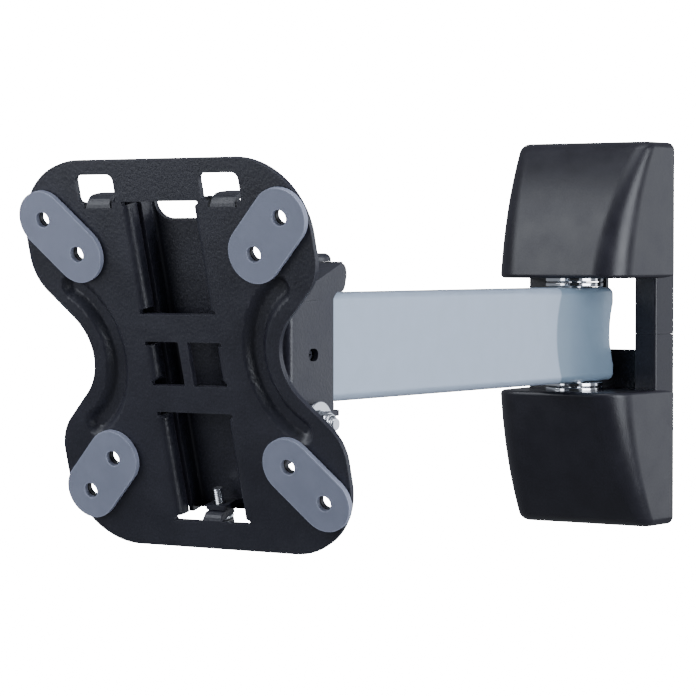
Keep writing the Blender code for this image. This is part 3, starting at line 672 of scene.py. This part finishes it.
def sheet_mesh(name, loops, pitch, place):
    """A sheet cut to its loops, meshed at about that pitch and put in place point by point."""
    points, edges = [], []
    for loop in loops:
        first = len(points)
        points += loop
        edges += [(first + i, first + (i + 1) % len(loop)) for i in range(len(loop))]
    border = np.array(points)
    low, high = border.min(0), border.max(0)
    grid = np.stack(np.meshgrid(
        np.arange(low[0] + pitch / 2, high[0], pitch),
        np.arange(low[1] + pitch / 2, high[1], pitch),
    ), -1).reshape(-1, 2)
    grid[:, 0] += pitch / 2 * (np.round((grid[:, 1] - low[1]) / pitch - 0.5) % 2)
    grid = grid[inside(grid, loops)]
    gaps = np.min([np.hypot(*(grid - point).T) for point in border], axis=0)
    grid = grid[gaps > pitch * 0.45]
    flat = [Vector(point) for point in points + grid.tolist()]
    verts, _, faces, *_ = delaunay_2d_cdt(flat, edges, [], 0, 1e-8)
    corners = np.array([tuple(v) for v in verts])
    triangles = np.array(faces)
    kept = triangles[inside(corners[triangles].mean(1), loops)]
    bm = bmesh.new()
    made = [bm.verts.new(place(*corner)) for corner in corners.tolist()]
    for face in kept.tolist():
        bm.faces.new([made[i] for i in face])
    loose = [vert for vert in bm.verts if not vert.link_faces]
    bmesh.ops.delete(bm, geom=loose, context="VERTS")
    return add_mesh(name, bm)


def tv_plate():
    loops = [plate_outline(), *slot_outlines(), hook_outline(HOOK_U), hook_outline(-HOOK_U)]
    for half in VESA_HALF:
        for side in (-1, 1):
            for end in (-1, 1):
                loops.append(circle((side * half, end * half), PLATE_HOLE_R, 32))
    loops.append(circle((0, LOCK_BEND + bend_length(LOCK_SCREW_BACK, BEND)), LOCK_HOLE_R, 24))
    plate = sheet_mesh("tv_plate_pressed", loops, 1.1 * MM, pressed)
    face = plate.data.polygons[len(plate.data.polygons) // 2]
    if face.normal.y > 0:
        plate.data.flip_normals()
    thick = plate.modifiers.new("thickness", "SOLIDIFY")
    thick.thickness = SHEET
    thick.offset = -1
    plate.data = evaluated_mesh(plate)
    plate.modifiers.clear()
    put_on_plate(plate, "black_steel", ["tv_plate"], edge=0.35 * MM, segments=2, smooth=50)


def pads():
    """Obround spacers on the corners, each with two holes."""
    names = {(-1, 1): "upper_left", (1, 1): "upper_right", (-1, -1): "lower_left", (1, -1): "lower_right"}
    far, near = VESA_HALF
    length = (far - near) * sqrt(2)
    for (side, end), name in names.items():
        outline = arc((length / 2, 0), PAD_R, -90, 90, 32) + arc((-length / 2, 0), PAD_R, 90, 270, 32)
        holes = [circle((x, 0), PLATE_HOLE_R + 0.1 * MM) for x in (-length / 2, length / 2)]
        pad = prism("pad_" + name + "_moulded", [outline, *holes], PAD_FACE, PAD_FACE + PAD_THICK, "Y")
        middle = (far + near) / 2
        turn = Matrix.Rotation(-radians(45) * side * end, 4, "Y")
        shift = Matrix.Translation((side * middle, 0, end * middle + PLATE_MID))
        pad.data.transform(shift @ turn)
        put_on_plate(pad, "grey_pad", ["pad_" + name], edge=0.35 * MM)


def tilt_bracket():
    """The channel behind the plate, its lips and foot, and two lugs that hold the tilt bolt."""
    half = CHANNEL_HALF
    front = PAD_FACE + 8.2 * MM
    web = PAD_FACE + CHANNEL_DEPTH
    plan = rounded([
        (-half, front, 0),
        (-half + SHEET, front, 0),
        (-half + SHEET, web, 1 * MM),
        (half - SHEET, web, 1 * MM),
        (half - SHEET, front, 0),
        (half, front, 0),
        (half, web + SHEET, 2.6 * MM),
        (-half, web + SHEET, 2.6 * MM),
    ])
    low, top = PLATE_MID + LOCK_TAB + GAP, PLATE_MID + 54 * MM
    body = prism("tilt_bracket_folded", [plan], low, top)
    throat = rounded([
        (-half + 3 * MM, PLATE_MID + 46.2 * MM, 6 * MM),
        (half - 3 * MM, PLATE_MID + 46.2 * MM, 6 * MM),
        (half - 3 * MM, top + 5 * MM, 0),
        (-half + 3 * MM, top + 5 * MM, 0),
    ], 12)
    cut(body, prism("throat", [throat], web - 1.5 * MM, web + 6 * MM, "Y"))
    lug_x = HEAD_HALF + GAP
    for side in (-1, 1):
        first, last = sorted((side * lug_x, side * (lug_x + SHEET)))
        round_end = arc((0, 0), LUG_R, -70, 80, 24)
        lug = [(web + 1 * MM, -9.5 * MM), *round_end, (web + 1 * MM, 8.5 * MM)]
        join(body, prism("lug", [lug], first, last, "X"))
        inner, outer = sorted((side * (half - 3 * MM), side * (lug_x + SHEET - 0.3 * MM)))
        low_corner = (inner, web + 0.3 * MM, -10 * MM)
        join(body, box("wing", low_corner, (outer, web + SHEET - 0.1 * MM, 9 * MM)))
    for side in (-1, 1):
        first, last = sorted((side * (half - 1 * MM), side * 20.2 * MM))
        join(body, box("lip", (first, front, low + 4 * MM), (last, front + 1.6 * MM, PLATE_MID + 55.4 * MM)))
        first, last = sorted((side * (half - SHEET + 0.05 * MM), side * (half - 0.05 * MM)))
        join(body, box("heel", (first, front + 0.2 * MM, low - 2 * MM), (last, web + 0.5 * MM, low + 2 * MM)))
    step = 4.4 * MM
    foot = rounded([
        (-step, PAD_FACE + 5.4 * MM, 0.8 * MM),
        (step, PAD_FACE + 5.4 * MM, 0.8 * MM),
        (step, web + 0.4 * MM, 3.4 * MM),
        (half - SHEET / 2, web + 0.4 * MM, 0),
        (half - SHEET / 2, web + 1.4 * MM, 0),
        (-half + SHEET / 2, web + 1.4 * MM, 0),
        (-half + SHEET / 2, web + 0.4 * MM, 0),
        (-step, web + 0.4 * MM, 3.4 * MM),
    ])
    join(body, prism("foot", [foot], low + 0.05 * MM, low + 1.7 * MM))
    lock_hole = circle((0, PAD_FACE + LOCK_SCREW_BACK), LOCK_HOLE_R)
    cut(body, prism("lock_hole", [lock_hole], low - 3 * MM, low + 3 * MM))
    cut(body, prism("bolt_hole", [circle((0, 0), 2.7 * MM)], -22 * MM, 22 * MM, "X"))
    put_on_plate(body, "black_steel", ["tilt_bracket"], edge=0.3 * MM)


def lock_screw():
    """The lock screw: its wound thread, and the dark grip that stands for its head."""
    tip = PLATE_MID - 49.6 * MM
    under = PLATE_MID + LOCK_TAB - SHEET - 1.6 * MM
    place = (0, PAD_FACE + LOCK_SCREW_BACK, 0)
    screw = thread("lock_screw_thread", 1.9 * MM, 0.7 * MM, under - 0.5 * MM, tip, place)
    put_on_plate(screw, "zinc", body="lock")
    head = turned("lock_head", rolled([
        (0, under), (4 * MM, under), (4 * MM, under - 1.9 * MM), (3.2 * MM, under - 2.7 * MM),
        (0, under - 2.7 * MM),
    ], 0.4 * MM), place)
    put_on_plate(head, "nylon", ["lock_screw"], body="lock")


def tilt_fasteners():
    """Zinc washers, the locking nut and the bolt with its thread end, on the tilt axis."""
    face = HEAD_HALF + GAP + SHEET + GAP
    for name, side in (("right", 1), ("left", -1)):
        low, high = sorted((side * face, side * (face + 1.4 * MM)))
        washer = ring(f"tilt_washer_{name}_pressed", 8 * MM, TILT_BORE_R, low, high, axis="X")
        put_on_plate(washer, "zinc", [f"tilt_washer_{name}"])
    seat = face + 1.7 * MM
    inner, outer, waist = TILT_BORE_R, 4.9 * MM, 3.6 * MM
    steps = [
        (inner, seat - 0.2 * MM),
        (outer, seat - 0.2 * MM),
        (outer, seat + 0.05 * MM),
        (waist, seat + 0.1 * MM),
        (waist, seat + 0.25 * MM),
        (outer, seat + 0.3 * MM),
        (outer, seat + 0.55 * MM),
        (inner, seat + 0.55 * MM),
    ]
    collar = turned("tilt_collar", steps, axis="X", closed=True)
    put_on_plate(collar, "zinc", ["tilt_lock_washer"])
    nut = hexagon_piece("tilt_nut_body", 8 * MM, seat + 0.6 * MM, seat + 3.6 * MM, TILT_BORE_R, axis="X")
    dome = ring("tilt_nut_dome", 3.7 * MM, TILT_BORE_R, seat + 3.3 * MM, seat + 4.75 * MM, axis="X",
                edge=0.45 * MM)
    join(nut, dome)
    put_on_plate(nut, "zinc", ["tilt_nut"], edge=0.15 * MM, segments=2)
    bolt = thread("tilt_bolt_thread", 2.5 * MM, 0.8 * MM, -seat - 0.5 * MM, seat + 6.5 * MM, axis="X")
    head = turned("tilt_head", rolled([
        (0, -seat), (4.6 * MM, -seat), (4.6 * MM, -seat - 2 * MM), (3.4 * MM, -seat - 3.1 * MM),
        (0, -seat - 3.1 * MM),
    ], 0.25 * MM), axis="X")
    join(bolt, head)
    put_on_plate(bolt, "zinc", ["tilt_bolt"])


# ---------------------------------------------------------------- swivel head
def swivel_bracket():
    """The bent sheet of the head: web, cheeks with rear wings, sloped top, top flange and floor."""
    half = HEAD_HALF
    bend = 2.2 * MM
    back = HEAD_BACK + 12 * MM
    plan = rounded([
        (-half, back, 0),
        (-half, HEAD_FRONT, bend),
        (half, HEAD_FRONT, bend),
        (half, back, 0),
        (half - SHEET, back, 0),
        (half - SHEET, HEAD_FRONT + SHEET, 0.4 * MM),
        (-half + SHEET, HEAD_FRONT + SHEET, 0.4 * MM),
        (-half + SHEET, back, 0),
    ])
    body = prism("swivel_bracket_folded", [plan], -36 * MM, HEAD_TOP + 1 * MM)
    bolt_y, bolt_z = TILT.y, TILT.z
    over_arm = 20.4 * MM
    (front_y, front_z), (back_y, back_z) = HEAD_SLOPE
    side = [
        *rounded([
            (HEAD_FRONT - 1 * MM, front_z, 0),
            (front_y, front_z, 0),
            (back_y, back_z, 2.5 * MM),
            (-228.9 * MM, 27.5 * MM, 5 * MM),
            (-231.2 * MM, over_arm, 3 * MM),
            (-236 * MM, over_arm, 2 * MM),
            (HEAD_BACK, 18 * MM, 0),
            (HEAD_BACK, HEAD_FLOOR, 0),
        ]),
        (-242.5 * MM, HEAD_FLOOR),
        *arc((bolt_y, bolt_z), LUG_R, 10, -190, 32),
        (HEAD_FRONT - 1 * MM, bolt_z + LUG_R * sin(radians(10))),
    ]
    combine(body, prism("head_side", [side], -half - 2 * MM, half + 2 * MM, "X"), "INTERSECT")
    low, high = (-12 * MM, HEAD_FRONT, -20 * MM), (12 * MM, HEAD_FRONT + SHEET, front_z - 0.1 * MM)
    join(body, box("head_web", low, high))
    inner = half - SHEET / 2
    lip = 0.03 * MM
    slope = rounded([
        (HEAD_FRONT + 0.1 * MM, front_z - lip, 0),
        (front_y, front_z - lip, 2 * MM),
        (back_y, back_z - lip, 0),
        (back_y, back_z - SHEET, 0),
        (front_y, front_z - 1.2 * SHEET, 2 * MM),
        (HEAD_FRONT + 0.1 * MM, front_z - 1.2 * SHEET, 0),
    ])
    join(body, prism("head_slope", [slope], -inner, inner, "X"))
    top = [
        (-inner, back_y - 1.2 * MM),
        (inner, back_y - 1.2 * MM),
        (inner, SWIVEL.y - 3.5 * MM),
        *arc((0, SWIVEL.y), 10.8 * MM, 0, 180, 40),
        (-inner, SWIVEL.y - 3.5 * MM),
    ]
    join(body, prism("top_flange", [top], HEAD_TOP - SHEET, HEAD_TOP))
    floor_outline = [
        (-inner, HEAD_FRONT + 1 * MM),
        (inner, HEAD_FRONT + 1 * MM),
        (inner, HEAD_BACK),
        (9.5 * MM, HEAD_BACK + 1 * MM),
        *arc((0, SWIVEL.y), 9.5 * MM, 0, 180, 40),
        (-9.5 * MM, HEAD_BACK + 1 * MM),
        (-inner, HEAD_BACK),
    ]
    join(body, prism("floor", [floor_outline], HEAD_FLOOR - SHEET, HEAD_FLOOR))
    cut(body, prism("spacer_room", [circle((0, SWIVEL.y), 7.3 * MM)], 20 * MM, HEAD_TOP - SHEET))
    cut(body, prism("pin_hole", [circle((0, SWIVEL.y), 4.2 * MM)], -40 * MM, 40 * MM))
    cut(body, prism("bolt_hole", [circle((bolt_y, bolt_z), 2.7 * MM)], -20 * MM, 20 * MM, "X"))
    grub_r = 2.3 * MM
    grub = arc((-250.4 * MM, GRUB_Z), grub_r, -90, 90, 16) + arc((-252 * MM, GRUB_Z), grub_r, 90, 270, 16)
    cut(body, prism("grub_hole", [grub], 5 * MM, 20 * MM, "X"))
    crease = [
        (-261 * MM, 16.6 * MM),
        (-252 * MM, 17.5 * MM),
        (-244 * MM, 17.6 * MM),
        (-252 * MM, 17.9 * MM),
        (-261 * MM, 17.3 * MM),
    ]
    cut(body, prism("crease", [crease], half - 0.35 * MM, half + 1 * MM, "X"))
    put(body, "head", "black_steel", ["swivel_bracket"], edge=0.35 * MM)


def swivel_fasteners():
    """The vertical bolt with its domed head and threaded end, its washers, spacer and nut."""
    place = (0, SWIVEL.y, 0)
    rest = ARM_HALF
    upper = ring("friction_washer_upper", FRICTION_R, SWIVEL_BORE_R, rest + GAP, rest + 1.6 * MM, place)
    put(upper, "head", "nylon", ["upper_friction_washer"])
    spacer = ring("spacer_turned", 7 * MM, SWIVEL_BORE_R, rest + 1.9 * MM, HEAD_TOP - SHEET - GAP, place)
    put(spacer, "head", "zinc", ["swivel_spacer"])
    low, high = HEAD_FLOOR + GAP, -rest - GAP
    lower = ring("friction_washer_lower", FRICTION_R, SWIVEL_BORE_R, low, high, place)
    put(lower, "head", "nylon", ["lower_friction_washer"])
    under = HEAD_FLOOR - SHEET - GAP
    washer = ring("nut_washer", 8 * MM, SWIVEL_BORE_R, under - 1.5 * MM, under, place)
    put(washer, "head", "zinc", ["swivel_nut_washer"])
    top = under - 1.8 * MM
    nut = hexagon_piece("swivel_nut_body", 13 * MM, top - 7 * MM, top, SWIVEL_BORE_R, place)
    put(nut, "head", "zinc", ["swivel_nut"], edge=0.15 * MM, segments=2)
    bolt = thread("swivel_bolt_thread", 4 * MM, 1.25 * MM, top - 8.4 * MM, HEAD_TOP + 1 * MM, place)
    seat = HEAD_TOP + 0.05 * MM
    head = turned("swivel_head", [
        (0, seat + 3.1 * MM),
        *[(3.9 * MM + 2.6 * MM * sin(radians(a)), seat + 0.6 * MM + 2.5 * MM * cos(radians(a)))
          for a in range(0, 91, 10)],
        (6.5 * MM, seat),
        (0, seat),
    ], place)
    join(bolt, head)
    socket = prism("socket", [arc((0, SWIVEL.y), 2.9 * MM, 0, 300, 5)], seat + 1 * MM, seat + 5 * MM)
    cut(bolt, socket)
    put(bolt, "head", "black_steel", ["swivel_bolt"])


def grub_screw():
    """The small cross-slotted screw seen in the near cheek."""
    place = (0, -251.2 * MM, GRUB_Z)
    screw = turned("grub_screw_turned", rolled([
        (0, 14 * MM), (2 * MM, 14 * MM), (2 * MM, 10.6 * MM), (1.2 * MM, 10 * MM), (0, 10 * MM),
    ], 0.15 * MM), place, "X")
    for across, along in ((1.5, 0.25), (0.25, 1.5)):
        low = (13 * MM, place[1] - across * MM, place[2] - along * MM)
        cut(screw, box("slot", low, (16 * MM, place[1] + across * MM, place[2] + along * MM)))
    put(screw, "head", "black_steel", ["swivel_grub_screw"])


# ---------------------------------------------------------------- arm
def arm_tube():
    """The tube on edge, scooped at its wall end, with a hole for each pivot's sleeve."""
    low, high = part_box("arm_tube")
    half_x, half_z = high.x, high.z
    bore_x, bore_z = half_x - ARM_WALL, half_z - ARM_WALL
    outline = [(sx * half_x, sz * half_z, 3.2 * MM) for sx, sz in SQUARE]
    bore = [(sx * bore_x, sz * bore_z, 1.2 * MM) for sx, sz in SQUARE]
    tube = prism("arm_tube_drawn", [rounded(outline, 10), rounded(bore, 6)], low.y, high.y, "Y")
    scoop = arc((high.y - SCOOP_DEPTH + SCOOP_R, 0), SCOOP_R, 130, 230, 60)
    cut(tube, prism("scoop", [scoop], -15 * MM, 15 * MM, "X"))
    for y in (SWING.y, SWIVEL.y):
        cut(tube, prism("pivot_hole", [circle((0, y), 8 * MM)], -25 * MM, 25 * MM))
    put(tube, "arm", "silver_arm", ["arm_tube"], edge=0.3 * MM)


def pivot_rings():
    """The pair of chrome rings over and under the arm: one on the cover, one on the tube."""
    for name in ("upper", "lower"):
        for part, body in (("ring", "wall"), ("bush", "arm")):
            low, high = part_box(f"{name}_{part}")
            profile = rolled([
                (RING_R, high.z),
                (RING_R, low.z),
                (RING_BORE_R, low.z),
                (RING_BORE_R, high.z),
            ], 0.5 * MM, 5)
            made = turned(f"{name}_{part}_turned", profile, (0, SWING.y, 0), closed=True, steps=96)
            put(made, body, "chrome", [f"{name}_{part}"])


# ---------------------------------------------------------------- wall unit
def cover_depth(height):
    """How far the hood's front stands off the wall: a straight taper that bows in to its end."""
    run = max(height - COVER_RIM, 0)
    bow = max(height - BOW_START, 0)
    return COVER_DEPTH - COVER_SLOPE * run - (COVER_ARC - sqrt(COVER_ARC**2 - bow**2)) * COVER_BOW


def hood_block(name, side, levels, back):
    """A solid lofted through (height, inset) levels and closed at both ends and at the back."""
    bm = bmesh.new()
    loops = []
    for height, inset in levels:
        depth = cover_depth(height) - inset
        half_back = COVER_WIDTH / 2 - inset
        half_front = half_back - HOOD_TAPER * depth / COVER_DEPTH
        corner = HOOD_CORNER * cover_depth(height) - inset
        outline = rounded([
            (-half_back, back, 0),
            (-half_front, -depth, corner),
            (half_front, -depth, corner),
            (half_back, back, 0),
        ], 16)
        loops.append([bm.verts.new((x, y, side * height)) for x, y in outline])
    for lower, upper in zip(loops, loops[1:]):
        for i in range(len(lower)):
            bm.faces.new((lower[i - 1], lower[i], upper[i], upper[i - 1]))
    bm.faces.new(loops[0])
    bm.faces.new(loops[-1])
    return add_mesh(name, bm)


def hood_levels(low, high, edge, extra, steps):
    """Levels from low to high with a rounded far edge, all set in by extra."""
    levels = [(low + (high - edge - low) * i / steps, extra) for i in range(steps + 1)]
    for angle in range(10, 91, 10):
        turn = radians(angle)
        levels.append((high - edge + edge * sin(turn), extra + edge * (1 - cos(turn))))
    return levels


def cover(name, side):
    """A moulded hood, open at the wall, with two legs that frame the window."""
    rim = []
    for angle in range(0, 90, 15):
        turn = radians(angle)
        rim.append((COVER_RIM + RIM_EDGE * (1 - cos(turn)), RIM_EDGE * (1 - sin(turn))))
    outer = [*rim, *hood_levels(COVER_RIM + RIM_EDGE, COVER_TOP, 3.5 * MM, 0, 24)]
    shell = hood_block(name + "_moulded", side, outer, 0)
    near = COVER_WIDTH / 2 - LEG_WIDTH
    far = COVER_WIDTH / 2 - 0.1 * MM
    low, high = sorted((side * 0.04 * MM, side * (COVER_RIM + 2.4 * MM)))
    for direction in (-1, 1):
        leg = rounded([
            (direction * near, 0, 0),
            (direction * near, -LEG_DEPTH, 0.8 * MM),
            (direction * (far - 2.4 * MM), -LEG_DEPTH, 1.2 * MM),
            (direction * far, -0.05 * MM, 0),
        ], 6)
        join(shell, prism("leg", [leg], low, high))
    floor_z = COVER_RIM + 2 * MM
    inner = hood_levels(floor_z, COVER_TOP - COVER_WALL, 2 * MM, COVER_WALL, 16)
    cut(shell, hood_block("inside", side, inner, 2 * MM))
    for direction in (-1, 1):
        first, last = sorted((direction * (near + 2 * MM), direction * (far - 4.4 * MM)))
        bottom, top = sorted((side * 2.3 * MM, side * (floor_z + 0.5 * MM)))
        cut(shell, box("hollow", (first, -LEG_DEPTH + 2 * MM, bottom), (last, 2.1 * MM, top)))
    bottom, top = sorted((-side * 1 * MM, side * 77 * MM))
    cut(shell, box("seat", (-30.8 * MM, -2.8 * MM, bottom), (30.8 * MM, 2.2 * MM, top)))
    first, last = sorted((side * (COVER_RIM - 1 * MM), side * (floor_z + 1 * MM)))
    cut(shell, prism("bush_hole", [circle((0, SWING.y), 12.7 * MM, 64)], first, last))
    put(shell, "wall", "black_plastic", [name], edge=0.25 * MM, smooth=32, level=False)


def kept_solids():
    """Pieces mostly out of sight keep the frame's own solids, with a finish and eased edges."""
    finishes = {
        "black_steel": ("wall_plate", "upper_ear", "lower_ear"),
        "zinc": ("swing_bolt", "swing_bolt_washer", "swing_nut_washer", "swing_nut",
                 "arm_wall_sleeve", "arm_tip_sleeve", "lock_washer"),
        "black_plastic": ("arm_plug",),
    }
    for slot, names in finishes.items():
        for name in names:
            obj = frame["nodes"][name]
            obj.data.materials.clear()
            obj.data.materials.append(FINISHES[slot])
            weld = obj.modifiers.new("weld", "WELD")
            weld.merge_threshold = 0.01 * MM
            bevel = obj.modifiers.new("edges", "BEVEL")
            bevel.width = 0.25 * MM
            bevel.segments = 2
            bevel.limit_method = "ANGLE"
            bevel.angle_limit = radians(40)


# ---------------------------------------------------------------- stage, light and camera
def plain(name, colour, strength=0.0):
    mat = bpy.data.materials.new(name)
    mat.use_nodes = True
    shader = mat.node_tree.nodes["Principled BSDF"]
    shader.inputs["Base Color"].default_value = (*colour, 1)
    shader.inputs["Roughness"].default_value = 0.8
    shader.inputs["Emission Color"].default_value = (*colour, 1)
    shader.inputs["Emission Strength"].default_value = strength
    return mat


def studio_surface(name, bm, place):
    """A surface of the studio that only the camera sees, so that it throws no light."""
    surface = add_mesh(name, bm)
    surface.location = place
    surface.visible_diffuse = False
    surface.visible_glossy = False
    surface.visible_shadow = False
    surface.visible_transmission = False
    surface.data.materials.append(plain(name, (1, 1, 1), BACKDROP_GLOW))


def studio_room():
    """A pale floor, and a pale wall that bends round it."""
    bm = bmesh.new()
    bmesh.ops.create_grid(bm, x_segments=1, y_segments=1, size=12)
    studio_surface("studio_floor", bm, (0, 0, FLOOR_Z))
    bm = bmesh.new()
    bmesh.ops.create_uvsphere(bm, u_segments=48, v_segments=24, radius=ROOM_R)
    studio_surface("studio_wall", bm, (0, 0, 0))


def dark_card(name, place, size):
    """A black card beside the camera, seen only in reflections, that darkens rounded corners."""
    bm = bmesh.new()
    bmesh.ops.create_grid(bm, x_segments=1, y_segments=1, size=0.5)
    card = add_mesh(name, bm)
    card.scale = (size[0], size[1], 1)
    card.location = place
    card.rotation_euler = (Vector((0, -0.1, 0)) - Vector(place)).to_track_quat("-Z", "Y").to_euler()
    card.visible_camera = False
    card.visible_shadow = False
    card.visible_diffuse = False
    card.data.materials.append(plain("black_card", (0.01, 0.01, 0.01)))


def soft_light(name, place, size, power, aim=(0, -0.15, 0), colour=(1, 1, 1)):
    data = bpy.data.lights.new(name, "AREA")
    data.shape = "RECTANGLE"
    data.size, data.size_y = size
    data.energy = power
    data.color = colour
    lamp = bpy.data.objects.new(name, data)
    bpy.context.scene.collection.objects.link(lamp)
    lamp.location = place
    lamp.rotation_euler = (Vector(aim) - Vector(place)).to_track_quat("-Z", "Y").to_euler()


def studio():
    world = bpy.data.worlds.new("studio_air")
    world.use_nodes = True
    sky = world.node_tree.nodes["Background"]
    sky.inputs["Color"].default_value = (0.86, 0.91, 1, 1)
    sky.inputs["Strength"].default_value = SKY_STRENGTH
    bpy.context.scene.world = world
    studio_room()
    dark_card("camera_side_card", (0.95, -1.75, 0.1), (1.3, 2.4))
    blue = (0.9, 0.94, 1)
    soft_light("key_right", (1.55, -0.35, 0.3), (1.0, 1.5), 42, colour=blue)
    soft_light("above", (0.1, -0.35, 1.3), (0.9, 0.9), 8, colour=blue)
    soft_light("back_right", (1.0, 1.25, 0.15), (1.2, 1.0), 5.8, colour=blue)
    soft_light("fill_left", (-0.68, -0.93, 0.66), (0.7, 1.0), 10.5, (0, 0, 0.05), blue)
    soft_light("plate_glow", (-0.2, -0.62, 0.04), (0.2, 0.2), 0.45, (0, -0.3, 0.02), blue)


def camera():
    data = bpy.data.cameras.new("view")
    data.lens = LENS
    data.sensor_width = 36
    seen = bpy.data.objects.new("view", data)
    bpy.context.scene.collection.objects.link(seen)
    seen.location = VIEW_PLACE
    seen.rotation_euler = (radians(90 - VIEW_DOWN), 0, radians(VIEW_ROUND))
    bpy.context.scene.camera = seen


def main():
    tv_plate()
    pads()
    tilt_bracket()
    lock_screw()
    tilt_fasteners()
    swivel_bracket()
    swivel_fasteners()
    grub_screw()
    arm_tube()
    pivot_rings()
    cover("upper_cover", 1)
    cover("lower_cover", -1)
    kept_solids()
    studio()
    camera()


main()
